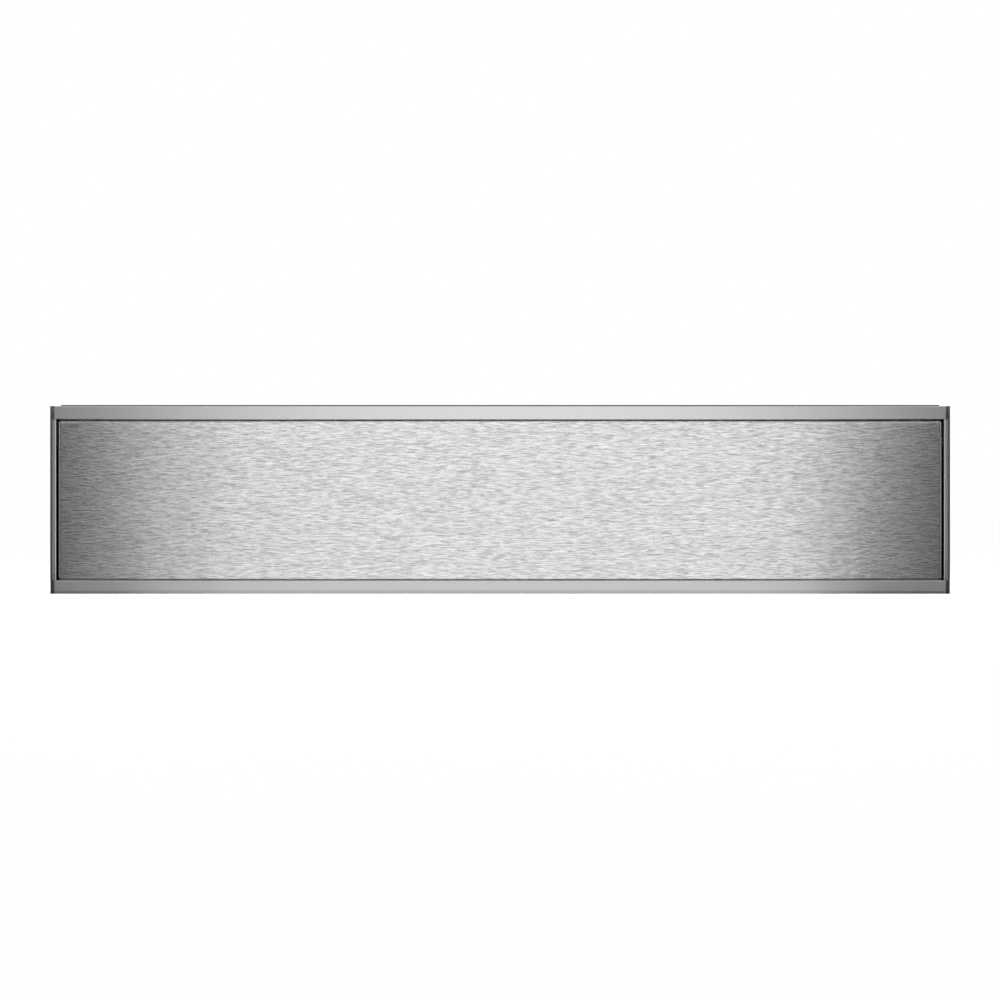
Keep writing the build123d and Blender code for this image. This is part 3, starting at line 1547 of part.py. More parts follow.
SINGLE_PIECES = [
    top_rail,
    bottom_rail,
    top_seal_strip,
    base_plate,
    rear_wall,
    rear_top_cover,
    front_cross_rail,
    feet,
    cable_gland,
    housing_screws,
    push_latch_body,
    push_plunger,
    front_panel,
    panel_carrier,
    drawer_tray,
    deck_plate,
    deck_screws,
    control_glass,
    control_board,
    vacuum_chamber,
    chamber_seal,
    suction_filter,
    lift_cylinders,
    sealing_bar,
    heating_strip,
    lid_glass,
    lid_hinge_arms,
    hinge_brackets,
    hinge_pins,
    counter_strip,
    vacuum_port,
    port_cap,
    pump_head,
    motor_housing,
    pump_rotor,
    fan_cowl,
    pump_mounts,
    exhaust_filter,
    cooling_fan,
    fan_impeller,
    transformer,
    power_board,
    valve_block,
    hoses,
]

HANDED_PIECES = {
    "jamb": right_jamb,
    "side_trim": right_side_trim,
    "side_wall": right_side_wall,
    "runner_outer": right_runner_outer,
    "runner_middle": right_runner_middle,
    "runner_inner": right_runner_inner,
    "outer_cage": right_outer_cage,
    "inner_cage": right_inner_cage,
}

os.makedirs("parts", exist_ok=True)
for make in SINGLE_PIECES:
    save(make.__name__, make())
for piece_name, make in HANDED_PIECES.items():
    made = make()
    right_side = made if isinstance(made, list) else [made]
    save("right_" + piece_name, right_side)
    save("left_" + piece_name, [mirrored(shape) for shape in right_side])
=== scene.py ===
import json
import math

import bmesh
import bpy
from mathutils import Matrix, Vector


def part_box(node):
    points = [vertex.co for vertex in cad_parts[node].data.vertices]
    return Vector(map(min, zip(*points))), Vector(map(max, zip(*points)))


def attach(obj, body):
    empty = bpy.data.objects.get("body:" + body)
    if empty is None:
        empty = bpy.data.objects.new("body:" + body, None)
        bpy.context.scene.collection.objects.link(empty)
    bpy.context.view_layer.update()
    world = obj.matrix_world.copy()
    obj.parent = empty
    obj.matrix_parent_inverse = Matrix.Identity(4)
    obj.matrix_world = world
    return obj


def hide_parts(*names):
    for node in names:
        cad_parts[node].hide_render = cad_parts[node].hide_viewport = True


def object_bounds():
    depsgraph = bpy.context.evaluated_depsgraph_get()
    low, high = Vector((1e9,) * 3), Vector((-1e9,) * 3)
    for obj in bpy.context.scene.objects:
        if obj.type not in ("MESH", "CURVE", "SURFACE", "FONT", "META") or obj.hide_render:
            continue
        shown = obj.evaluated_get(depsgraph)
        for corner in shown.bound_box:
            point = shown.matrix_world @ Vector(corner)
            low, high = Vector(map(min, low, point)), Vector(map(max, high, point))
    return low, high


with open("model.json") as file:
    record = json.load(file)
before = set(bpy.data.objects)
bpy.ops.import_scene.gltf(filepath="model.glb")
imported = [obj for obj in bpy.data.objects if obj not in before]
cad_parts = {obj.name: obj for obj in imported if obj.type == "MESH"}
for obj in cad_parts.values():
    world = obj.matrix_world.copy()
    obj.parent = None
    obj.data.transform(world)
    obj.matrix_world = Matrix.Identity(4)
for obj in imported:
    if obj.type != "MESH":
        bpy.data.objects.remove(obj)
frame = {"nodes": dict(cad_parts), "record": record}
cad_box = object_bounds()
nodes = frame["nodes"]
RECORD_SLOTS = {part["node"]: part["material_slot"] for part in frame["record"]["subparts"]}

# Lengths are in metres: mm turns millimetres into them.
mm = 0.001

# The photograph: 1000 pixels square, with the frame's front 899.8 pixels wide
PHOTO_PIXELS = 1000
FRONT_PIXELS = 899.8
FRONT_CENTRE_PIXEL = (500.1, 499.95)
CAMERA_DISTANCE = 12.0
SENSOR_WIDTH = 36.0

# Light that the front mirrors: its level at places across the front, from the middle
LIGHT_REACH = 0.40
HIGH_WALL_STOPS = [
    (-0.40, 0.06),
    (-0.320, 0.0),
    (-0.286, 0.06),
    (-0.240, 0.98),
    (-0.195, 1.22),
    (-0.11, 1.09),
    (0.175, 1.10),
    (0.230, 1.32),
    (0.256, 0.98),
    (0.280, 0.05),
    (0.305, 0.0),
    (0.40, 0.05),
]
LOW_WALL_STOPS = [
    (-0.40, 0.05),
    (-0.305, 0.03),
    (-0.270, 0.18),
    (-0.228, 0.58),
    (-0.180, 0.86),
    (-0.110, 1.02),
    (-0.04, 1.05),
    (0.130, 1.07),
    (0.190, 1.01),
    (0.238, 0.66),
    (0.266, 0.10),
    (0.294, 0.0),
    (0.40, 0.05),
]
FLOOR_STOPS = [
    (-0.40, 0.02),
    (-0.302, 0.03),
    (-0.257, 0.21),
    (-0.215, 0.63),
    (-0.165, 0.95),
    (-0.10, 1.0),
    (0.16, 1.0),
    (0.195, 0.87),
    (0.222, 0.45),
    (0.25, 0.10),
    (0.30, 0.02),
    (0.40, 0.01),
]

# Glowing cards: two bands of wall in front of the object, and one on the floor up to them
CARD_DISTANCE = 1.1
CARD_GAP = 0.5 * mm
CARD_HALF_WIDTH = 0.55
LOW_CARD_BOTTOM = -0.01
LOW_CARD_HEIGHT = 0.24
CARD_HEIGHT = 1.3
WALL_GLOW = 1.0
FLOOR_CARD_LEVEL = 2 * mm
FLOOR_CARD_NEAR_HALF_WIDTH = 0.45
FLOOR_GLOW = 0.84

# Floor: its grey to the eye and in reflections, and the glow that lifts it for the eye
FLOOR_REACH = 40.0
FLOOR_SEEN = 0.94
FLOOR_MIRRORED = 0.22
FLOOR_LIFT = 0.45

# Tent of light: its level by the height of a direction, and the least that it has except in front.
# In front is where a direction's Y is below the first of two values. From the second on it isn't.
TENT_STOPS = [(0.0, 0.06), (0.36, 0.13), (0.70, 0.62), (1.0, 0.74)]
LEAST_LEVEL = 0.48
FRONT_ENDS = (-0.93, -0.55)

# Boost of the light on matt things below glass, which the lamp doesn't reach
UNDER_GLASS_BOOST = 2.6

# Wide soft lamp above
LAMP_SIZE = (2.4, 2.0)
LAMP_PLACE = (0.0, -0.2, 2.4)
LAMP_POWER = 90.0


# Shader helpers

class Graph:
    """A node tree, with short calls that add and link its nodes."""

    def __init__(self, tree):
        self.tree = tree

    def add(self, kind, **settings):
        node = self.tree.nodes.new(kind)
        for key, value in settings.items():
            setattr(node, key, value)
        return node

    def join(self, output, socket):
        self.tree.links.new(output, socket)

    def fill(self, socket, item):
        """Link a socket to an output, or set it to a value."""
        if isinstance(item, bpy.types.NodeSocket):
            self.join(item, socket)
        else:
            socket.default_value = item

    def apart(self, vector):
        """X, Y and Z of a vector."""
        node = self.add("ShaderNodeSeparateXYZ")
        self.join(vector, node.inputs[0])
        return node.outputs

    def spread(self, value, low, high, start=0.0, end=1.0, **settings):
        """Map a value from one range to another."""
        node = self.add("ShaderNodeMapRange", **settings)
        self.join(value, node.inputs["Value"])
        node.inputs["From Min"].default_value = start
        node.inputs["From Max"].default_value = end
        node.inputs["To Min"].default_value = low
        node.inputs["To Max"].default_value = high
        return node.outputs["Result"]

    def sums(self, *values, operation="ADD"):
        """Combine values two by two."""
        total = values[0]
        for value in values[1:]:
            node = self.add("ShaderNodeMath", operation=operation)
            self.fill(node.inputs[0], total)
            self.fill(node.inputs[1], value)
            total = node.outputs[0]
        return total

    def blended(self, *parts):
        """Add values by their shares."""
        return self.sums(*[self.sums(value, share, operation="MULTIPLY") for value, share in parts])

    def mixed(self, factor, first, second):
        """Mix two colours by a value."""
        node = self.add("ShaderNodeMix", data_type="RGBA")
        self.join(factor, node.inputs["Factor"])
        sockets = [socket for socket in node.inputs if socket.type == "RGBA"]
        for socket, item in zip(sockets, (first, second)):
            self.fill(socket, (*item, 1.0) if isinstance(item, tuple) else item)
        return [socket for socket in node.outputs if socket.type == "RGBA"][0]

    def ramp(self, value, stops):
        """Grey levels at places from 0 to 1, eased between them."""
        node = self.add("ShaderNodeValToRGB")
        node.color_ramp.interpolation = "EASE"
        elements = node.color_ramp.elements
        elements[0].position = stops[0][0]
        elements[-1].position = stops[-1][0]
        for place, _ in stops[1:-1]:
            elements.new(place)
        for element, (_, level) in zip(elements, stops):
            element.color = (level, level, level, 1.0)
        self.join(value, node.inputs[0])
        return node.outputs[0]


class Shader(Graph):
    """One surface material."""

    def __init__(self, name, **sockets):
        self.material = bpy.data.materials.new(name)
        self.material.use_nodes = True
        super().__init__(self.material.node_tree)
        self.surface = self.tree.nodes["Principled BSDF"]
        self.place = self.add("ShaderNodeTexCoord").outputs["Object"]
        for socket, value in sockets.items():
            self.surface.inputs[socket.replace("_", " ")].default_value = value

    def texture(self, kind, scale, sockets, **settings):
        """Texture in cycles to the metre: one number, or one for each axis."""
        node = self.add(kind, **settings)
        mapping = self.add("ShaderNodeMapping")
        mapping.inputs["Scale"].default_value = scale if isinstance(scale, tuple) else (scale,) * 3
        self.join(self.place, mapping.inputs["Vector"])
        self.join(mapping.outputs["Vector"], node.inputs["Vector"])
        node.inputs["Scale"].default_value = 1.0
        for name, value in sockets.items():
            node.inputs[name].default_value = value
        return node.outputs

    def noise(self, scale, detail=2.0, roughness=0.5, distortion=0.0):
        """Soft noise."""
        sockets = {"Detail": detail, "Roughness": roughness, "Distortion": distortion}
        return self.texture("ShaderNodeTexNoise", scale, sockets)["Fac"]

    def cells(self, scale, output="Color"):
        """Voronoi cells."""
        return self.texture("ShaderNodeTexVoronoi", scale, {}, feature="F1")[output]

    def wave(self, scale, direction, detail=0.0, distortion=0.0):
        """Bands across one direction."""
        sockets = {"Detail": detail, "Distortion": distortion}
        return self.texture("ShaderNodeTexWave", scale, sockets, bands_direction=direction)["Fac"]

    def colour(self, value):
        self.join(value, self.surface.inputs["Base Color"])

    def roughness(self, value):
        self.join(value, self.surface.inputs["Roughness"])

    def bump(self, height, distance, strength):
        node = self.add("ShaderNodeBump")
        node.inputs["Strength"].default_value = strength
        node.inputs["Distance"].default_value = distance
        self.join(height, node.inputs["Height"])
        self.join(node.outputs["Normal"], self.surface.inputs["Normal"])


def grey(level, warmth=0.0):
    """Neutral colour, a little warm or cold."""
    return (level * (1 + warmth), level, level * (1 - warmth))


def shaded(colour, share):
    """A colour made darker or lighter."""
    return tuple(level * share for level in colour)


# Materials

# Marks of the brush, in cycles to the metre: streaks, and finer strokes over them
STREAKS = (190.0, 2520.0, 2520.0)
STROKES = (95.0, 5400.0, 5400.0)


def brushed_steel(name, level, contrast, roughness, anisotropy, grain=1.0):
    """Steel brushed along X: fine streaks, and reflections that spread across them."""
    shader = Shader(name, Metallic=1.0, Anisotropic=anisotropy, Anisotropic_Rotation=0.25)
    coarse = shader.noise(shaded(STREAKS, grain), detail=3.0, roughness=0.62)
    fine = shader.noise(shaded(STROKES, grain), detail=2.0, roughness=0.55)
    brushing = shader.blended((coarse, 0.68), (fine, 0.32))
    wide = shader.spread(brushing, 0.0, 1.0, start=0.34, end=0.60)
    shader.colour(shader.mixed(wide, grey(level - contrast, 0.006), grey(level + contrast, 0.002)))
    shader.roughness(shader.spread(wide, roughness + 0.03, roughness - 0.02))
    tangent = shader.add("ShaderNodeTangent", direction_type="RADIAL", axis="Z")
    shader.join(tangent.outputs["Tangent"], shader.surface.inputs["Tangent"])
    shader.bump(brushing, 0.02 * mm, 0.35)
    return shader.material


def satin_steel(name, level, roughness, tint=0.0, low_roughness=None):
    """Smooth satin steel with a fine even grain and faint handling marks.

    With low_roughness, what is no higher than the bottom rail is duller.
    """
    shader = Shader(name, Metallic=1.0)
    grain = shader.noise(2600.0, detail=2.0)
    cloud = shader.noise(9.0, detail=4.0)
    both = shader.blended((grain, 0.3), (cloud, 0.7))
    shader.colour(shader.mixed(both, grey(level * 0.95, tint), grey(level * 1.05, tint)))
    finish = shader.spread(both, roughness - 0.03, roughness + 0.05)
    if low_roughness:
        rail_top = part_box("bottom_rail")[1].z
        height = shader.apart(shader.place)["Z"]
        dull = low_roughness - roughness
        extra = shader.spread(height, dull, 0.0, start=rail_top, end=rail_top + 1.0 * mm)
        finish = shader.sums(finish, extra)
    shader.roughness(finish)
    shader.bump(grain, 0.01 * mm, 0.2)
    return shader.material


def zinc_sheet(name, level, spangle):
    """Zinc-plated sheet: soft crystalline flowers, fine rolling lines and dull patches."""
    shader = Shader(name, Metallic=1.0)
    flowers = shader.add("ShaderNodeRGBToBW")
    shader.join(shader.cells(spangle), flowers.inputs[0])
    rolled = shader.noise((30.0, 900.0, 900.0), detail=2.0)
    patches = shader.noise(14.0, detail=5.0, roughness=0.6)
    mixture = shader.blended((flowers.outputs[0], 0.45), (rolled, 0.2), (patches, 0.35))
    shader.colour(shader.mixed(mixture, grey(level * 0.82, -0.02), grey(level * 1.16, -0.01)))
    shader.roughness(shader.spread(mixture, 0.48, 0.30))
    shader.bump(patches, 0.05 * mm, 0.2)
    return shader.material


def paint(name, colour, roughness, coat=0.0):
    """Sprayed paint or enamel with a faint orange peel."""
    shader = Shader(name, Coat_Weight=coat, Coat_Roughness=0.12)
    peel = shader.noise(420.0, detail=2.0)
    cloud = shader.noise(11.0, detail=4.0)
    shader.colour(shader.mixed(cloud, shaded(colour, 0.94), shaded(colour, 1.06)))
    shader.roughness(shader.spread(cloud, roughness - 0.04, roughness + 0.06))
    shader.bump(peel, 0.03 * mm, 0.35)
    return shader.material


def moulded(name, colour, roughness):
    """Moulded plastic with a spark-eroded grain."""
    shader = Shader(name)
    fine = shader.cells(1900.0, output="Distance")
    cloud = shader.noise(25.0, detail=3.0)
    shader.colour(shader.mixed(cloud, shaded(colour, 0.9), shaded(colour, 1.12)))
    shader.roughness(shader.spread(fine, roughness - 0.05, roughness + 0.08))
    shader.bump(fine, 0.06 * mm, 0.4)
    return shader.material


def rubber(name, colour, roughness, clear=0.0, bloom_sheen=0.15):
    """Rubber or silicone: matt, with a dusty bloom and a fine skin."""
    shader = Shader(name, Subsurface_Weight=clear, Sheen_Weight=bloom_sheen, Sheen_Roughness=0.5)
    shader.surface.inputs["Subsurface Radius"].default_value = (2 * mm, 2 * mm, 2 * mm)
    skin = shader.noise(1400.0, detail=3.0)
    bloom = shader.noise(40.0, detail=4.0, roughness=0.65)
    shader.colour(shader.mixed(bloom, shaded(colour, 0.85), shaded(colour, 1.25)))
    shader.roughness(shader.spread(bloom, roughness - 0.06, roughness + 0.06))
    shader.bump(skin, 0.04 * mm, 0.3)
    return shader.material


def clear_glass(name):
    """Toughened clear glass with the faint green of its iron, and a trace of wiping marks."""
    shader = Shader(name, Transmission_Weight=1.0, IOR=1.5)
    smear = shader.noise((6.0, 14.0, 6.0), detail=5.0, roughness=0.6, distortion=0.4)
    shader.colour(shader.mixed(smear, (0.93, 0.985, 0.96), (0.97, 0.99, 0.98)))
    shader.roughness(shader.spread(smear, 0.0, 0.035, start=0.55, end=0.95))
    return shader.material


def black_glass(name):
    """Black-backed glass: nearly black below a hard clear gloss."""
    shader = Shader(name, Coat_Weight=1.0, Coat_Roughness=0.03, IOR=1.5)
    smear = shader.noise((7.0, 20.0, 7.0), detail=5.0, roughness=0.6)
    shader.colour(shader.mixed(smear, (0.006, 0.006, 0.007), (0.012, 0.012, 0.014)))
    shader.roughness(shader.spread(smear, 0.06, 0.16))
    return shader.material


def cast_metal(name, level, roughness):
    """Sand-cast metal: pebbled, with darker hollows."""
    shader = Shader(name, Metallic=0.85)
    pebbles = shader.noise(750.0, detail=4.0, roughness=0.6)
    stains = shader.noise(35.0, detail=4.0)
    shader.colour(shader.mixed(stains, grey(level * 0.75), grey(level * 1.15)))
    shader.roughness(shader.spread(pebbles, roughness - 0.1, roughness + 0.12))
    shader.bump(pebbles, 0.15 * mm, 0.6)
    return shader.material


def circuit_board(name):
    """Green solder mask over a close pattern of tracks."""
    shader = Shader(name, Coat_Weight=0.4, Coat_Roughness=0.2)
    sockets = {
        "Mortar Size": 0.03,
        "Color1": (0.012, 0.085, 0.035, 1.0),
        "Color2": (0.016, 0.11, 0.045, 1.0),
        "Mortar": (0.05, 0.22, 0.10, 1.0),
    }
    tracks = shader.texture("ShaderNodeTexBrick", 240.0, sockets, offset=0.37, squash=0.8)
    shader.colour(tracks["Color"])
    shader.roughness(shader.spread(tracks["Fac"], 0.45, 0.3))
    shader.bump(tracks["Fac"], 0.03 * mm, 0.5)
    return shader.material


def woven_tape(name):
    """Brown woven release tape over the heating wires."""
    shader = Shader(name)
    weave = shader.sums(shader.wave(900.0, "X"), shader.wave(900.0, "Y"), operation="MULTIPLY")
    shader.colour(shader.mixed(weave, (0.19, 0.115, 0.060), (0.38, 0.265, 0.165)))
    shader.roughness(shader.spread(weave, 0.6, 0.42))
    shader.bump(weave, 0.05 * mm, 0.6)
    return shader.material


def laminations(name):
    """Stack of thin core sheets, varnished, with rust-brown edges."""
    shader = Shader(name, Metallic=0.6)
    sheets = shader.wave(260.0, "Y", detail=1.0, distortion=0.2)
    stains = shader.noise(60.0, detail=4.0)
    both = shader.blended((sheets, 0.6), (stains, 0.4))
    shader.colour(shader.mixed(both, (0.045, 0.043, 0.042), (0.22, 0.20, 0.18)))
    shader.roughness(shader.spread(both, 0.62, 0.42))
    shader.bump(sheets, 0.08 * mm, 0.6)
    return shader.material


def winding(name):
    """Enamelled copper wire, wound in even turns, with painted shade in the grooves between turns
    and a painted highlight on their crowns.
    """
    shader = Shader(name, Metallic=0.9)
    turns = shader.wave(160.0, "Z", detail=1.0, distortion=0.3)
    # Painted shade and highlight: the colour follows the turns' height, dark copper in the grooves
    # and bright copper on the crowns.
    shader.colour(shader.mixed(turns, (0.20, 0.06, 0.02), (0.62, 0.24, 0.10)))
    shader.roughness(shader.spread(turns, 0.5, 0.25))
    shader.bump(turns, 0.3 * mm, 0.8)
    return shader.material


RECIPES = {
    "front_steel": (
        brushed_steel,
        dict(level=0.655, contrast=0.335, roughness=0.27, anisotropy=0.95),
    ),
    "satin_rail": (satin_steel, dict(level=0.76, roughness=0.25, low_roughness=0.42)),
    "dark_trim": (paint, dict(colour=(0.135, 0.135, 0.14), roughness=0.42)),
    "zinc_sheet": (zinc_sheet, dict(level=0.56, spangle=95.0)),
    "deck_steel": (brushed_steel, dict(level=0.60, contrast=0.05, roughness=0.34, anisotropy=0.6)),
    "chamber_steel": (
        brushed_steel,
        dict(level=0.62, contrast=0.03, roughness=0.30, anisotropy=0.2, grain=0.6),
    ),
    "runner_steel": (zinc_sheet, dict(level=0.60, spangle=240.0)),
    "black_rubber": (rubber, dict(colour=(0.022, 0.022, 0.023), roughness=0.72, bloom_sheen=0.02)),
    "silicone": (rubber, dict(colour=(0.46, 0.47, 0.47), roughness=0.5, clear=0.15)),
    "lid_glass": (clear_glass, {}),
    "black_glass": (black_glass, {}),
    "black_plastic": (moulded, dict(colour=(0.022, 0.022, 0.024), roughness=0.48)),
    "grey_plastic": (moulded, dict(colour=(0.26, 0.27, 0.28), roughness=0.5)),
    "hinge_metal": (satin_steel, dict(level=0.62, roughness=0.22)),
    "bar_metal": (satin_steel, dict(level=0.70, roughness=0.33, tint=-0.01)),
    "heating_band": (woven_tape, {}),
    "cast_metal": (cast_metal, dict(level=0.42, roughness=0.5)),
    "motor_paint": (paint, dict(colour=(0.045, 0.055, 0.062), roughness=0.45, coat=0.2)),
    "copper_winding": (winding, {}),
    "board_green": (circuit_board, {}),
    "hose_blue": (rubber, dict(colour=(0.05, 0.10, 0.17), roughness=0.45)),
    "core_sheets": (laminations, {}),
    "sink_metal": (satin_steel, dict(level=0.55, roughness=0.38, tint=-0.01)),
    "can_sleeve": (paint, dict(colour=(0.02, 0.045, 0.10), roughness=0.35, coat=0.3)),
    "relay_case": (moulded, dict(colour=(0.03, 0.03, 0.032), roughness=0.42)),
    "plug_white": (moulded, dict(colour=(0.62, 0.61, 0.57), roughness=0.5)),
    "glass_print": (paint, dict(colour=(0.02, 0.021, 0.023), roughness=0.5)),
    "mark_print": (paint, dict(colour=(0.62, 0.63, 0.64), roughness=0.5)),
}
MATERIALS = {name: make(name, **values) for name, (make, values) in RECIPES.items()}

WELD_WITHIN = 0.001 * mm
NODE_SHARP_FROM = 32.0


def dress_nodes():
    """Give every carried-over node the material of its slot, and smooth its round faces."""
    for name, part in nodes.items():
        part.data.materials.clear()
        part.data.materials.append(MATERIALS[RECORD_SLOTS[name]])
        weld = part.modifiers.new("weld", "WELD")
        weld.merge_threshold = WELD_WITHIN
        smooth_by_angle(part, NODE_SHARP_FROM)


def smooth_by_angle(part, degrees):
    """Smooth the round faces, keep edges sharp above an angle and flat faces flat."""
    part.data.shade_smooth()
    part.data.set_sharp_from_angle(angle=math.radians(degrees))
    weighted = part.modifiers.new("flat_faces", "WEIGHTED_NORMAL")
    weighted.weight = 100
    weighted.keep_sharp = True


# Second materials on nodes whose solids aren't all of one stuff

def solids_of(node_name):
    """Face numbers, lowest and highest corner of each separate solid in a node."""
    mesh = nodes[node_name].data
    parent = {}

    def root(key):
        while parent[key] != key:
            parent[key] = parent[parent[key]]
            key = parent[key]
        return key

    keys = [tuple(round(value, 6) for value in vertex.co) for vertex in mesh.vertices]
    for key in keys:
        parent.setdefault(key, key)
    for face in mesh.polygons:
        first = root(keys[face.vertices[0]])
        for vertex in face.vertices[1:]:
            parent[root(keys[vertex])] = first
    groups = {}
    for face in mesh.polygons:
        groups.setdefault(root(keys[face.vertices[0]]), []).append(face.index)
    found = []
    for faces in groups.values():
        corners = {vertex for face in faces for vertex in mesh.polygons[face].vertices}
        points = [mesh.vertices[corner].co for corner in corners]
        low = Vector([min(point[axis] for point in points) for axis in range(3)])
        high = Vector([max(point[axis] for point in points) for axis in range(3)])
        found.append((faces, low, high))
    return found


def recolour(node_name, choose):
    """Give some of a node's solids another material, chosen by their size."""
    mesh = nodes[node_name].data
    for faces, low, high in solids_of(node_name):
        slot = choose(high - low)
        if not slot:
            continue
        material = MATERIALS[slot]
        if material.name not in mesh.materials:
            mesh.materials.append(material)
        number = mesh.materials.find(material.name)
        for face in faces:
            mesh.polygons[face].material_index = number


# The power board's solids: their least or greatest widths, and the height only capacitors pass
BOARD_WIDTH = 100 * mm
SINK_WIDTH = 50 * mm
PLUG_WIDTH = 30 * mm
POST_WIDTH = 10 * mm
CAPACITOR_HEIGHT = 25 * mm
# The control board is wider than this, and its springs are narrower.
SPRING_WIDTH = 20 * mm


def power_board_stuff(size):
    """Board green, posts and heat sink metal, capacitors blue, relays black and plugs white."""
    if size.x > BOARD_WIDTH:
        return None
    if size.x < POST_WIDTH:
        return "hinge_metal"
    if size.x > SINK_WIDTH:
        return "sink_metal"
    if size.x > PLUG_WIDTH:
        return "plug_white"
    return "can_sleeve" if size.z > CAPACITOR_HEIGHT else "relay_case"


def dress_inner_parts():
    """Boards, and the transformer, whose core is its tallest solid."""
    recolour("power_board", power_board_stuff)
    core_height = max((high - low).z for _, low, high in solids_of("transformer"))
    recolour("transformer", lambda size: "core_sheets" if size.z == core_height else None)
    recolour("control_board", lambda size: "hinge_metal" if size.x < SPRING_WIDTH else None)


# Pieces that the solids leave plain

def new_object(name, data):
    """Object in the scene."""
    part = bpy.data.objects.new(name, data)
    bpy.context.scene.collection.objects.link(part)
    return part


def finish_mesh(name, bm, slot, body, smooth=None):
    """Turn a bmesh into a piece on the body that it moves with, smoothed below an angle."""
    bmesh.ops.remove_doubles(bm, verts=bm.verts, dist=0.0005 * mm)
    bmesh.ops.recalc_face_normals(bm, faces=bm.faces)
    mesh = bpy.data.meshes.new(name)
    bm.to_mesh(mesh)
    bm.free()
    mesh.materials.append(MATERIALS[slot])
    part = new_object(name, mesh)
    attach(part, body)
    if smooth:
        smooth_by_angle(part, smooth)
    return part


def band(bm, first, second):
    """Faces between two closed rows with the same number of vertices."""
    count = len(first)
    for index in range(count):
        after = (index + 1) % count
        bm.faces.new((first[index], first[after], second[after], second[index]))


def turned_rings(bm, outline, sides, matrix):
    """Surface turned about Z from radius and height pairs, open at both ends."""
    rings = []
    for radius, height in outline:
        ring = []
        for index in range(sides):
            angle = 2 * math.pi * index / sides
            point = Vector((radius * math.cos(angle), radius * math.sin(angle), height))
            ring.append(bm.verts.new(matrix @ point))
        rings.append(ring)
    for lower, upper in zip(rings, rings[1:]):
        band(bm, lower, upper)
    return rings


SCREW_HEAD = 1.8 * mm
SCREW_RADIUS = 3.6 * mm
SCREW_SHANK = 2.0 * mm
SCREW_SIDES = 24
SCREW_SHARP_FROM = 38
# Head of a pan-head screw from its seat to its crown: shares of its radius and height
PAN_HEAD = (
    (0.97, 0.0),
    (1.0, 0.14),
    (0.985, 0.42),
    (0.90, 0.74),
    (0.76, 0.94),
    (0.62, 1.0),
)
# Cross recess: shares of the head's height and radius, and of the cross left at its bottom
RECESS_DEPTH = 0.62
RECESS_REACH = 0.46
RECESS_WIDTH = 0.12
RECESS_TAPER = 0.62
# The housing's screws below this height go in from the sides, all others from above.
SIDE_SCREWS_BELOW = 40 * mm


def cross_recess(bm, rim, matrix):
    """Flat crown inside a rim, with a tapered cross sunk in it."""
    reach, width = SCREW_RADIUS * RECESS_REACH, SCREW_RADIUS * RECESS_WIDTH
    bottom_height = SCREW_HEAD * (1 - RECESS_DEPTH)
    cross = []
    for quarter in range(4):
        turn = Matrix.Rotation(quarter * math.pi / 2, 4, "Z")
        for x, y in ((width, -width), (reach, -width), (reach, width)):
            cross.append(turn @ Vector((x, y, SCREW_HEAD)))
    top = [bm.verts.new(matrix @ point) for point in cross]
    bottom = []
    for point in cross:
        sunk = Vector((point.x * RECESS_TAPER, point.y * RECESS_TAPER, bottom_height))
        bottom.append(bm.verts.new(matrix @ sunk))
    edges = []
    for loop in (rim, top):
        for index, vertex in enumerate(loop):
            pair = (vertex, loop[(index + 1) % len(loop)])
            edges.append(bm.edges.get(pair) or bm.edges.new(pair))
    bmesh.ops.triangle_fill(bm, edges=edges, use_beauty=True)
    band(bm, top, bottom)
    bm.faces.new(bottom)


def pan_screw(bm, seat, direction, length):
    """Pan-head screw with a cross recess, its head outwards along a direction from the seat."""
    turn = Vector((0, 0, 1)).rotation_difference(Vector(direction)).to_matrix().to_4x4()
    matrix = Matrix.Translation(seat) @ turn
    outline = [(SCREW_SHANK, -length), (SCREW_SHANK, 0.0)]
    outline += [(SCREW_RADIUS * radius, SCREW_HEAD * height) for radius, height in PAN_HEAD]
    rings = turned_rings(bm, outline, SCREW_SIDES, matrix)
    bm.faces.new(rings[0])
    cross_recess(bm, rings[-1], matrix)


def screws_for(node_name, slot, body):
    """Replace a node's plain screws by pan-head ones."""
    bm = bmesh.new()
    for _, low, high in solids_of(node_name):
        seat = (low + high) / 2
        if seat.z < SIDE_SCREWS_BELOW:
            side = math.copysign(1, seat.x)
            direction = (side, 0, 0)
            length = high.x - low.x - SCREW_HEAD
            seat.x = (max(abs(low.x), abs(high.x)) - SCREW_HEAD) * side
        else:
            direction = (0, 0, 1)
            length = high.z - low.z - SCREW_HEAD
            seat.z = high.z - SCREW_HEAD
        pan_screw(bm, seat, direction, length)
    part = finish_mesh(node_name + "_detail", bm, slot, body, smooth=SCREW_SHARP_FROM)
    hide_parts(node_name)


BALL_RINGS = 8
BALL_SIDES = 14
BALLS_IN_ROW = 11
BALL_AT_MOST = 20 * mm
CAGE_SHEET = 0.8 * mm
CAGE_SHARP_FROM = 40


def ball(bm, centre, radius):
    """Ball of latitude rings between two poles."""
    outline = []
    for index in range(1, BALL_RINGS):
        angle = math.pi * index / BALL_RINGS - math.pi / 2
        outline.append((radius * math.cos(angle), radius * math.sin(angle)))
    loops = turned_rings(bm, outline, BALL_SIDES, Matrix.Translation(centre))
    south = bm.verts.new(Vector(centre) - Vector((0, 0, radius)))
    north = bm.verts.new(Vector(centre) + Vector((0, 0, radius)))
    for index in range(BALL_SIDES):
        after = (index + 1) % BALL_SIDES
        bm.faces.new((south, loops[0][after], loops[0][index]))
        bm.faces.new((north, loops[-1][index], loops[-1][after]))


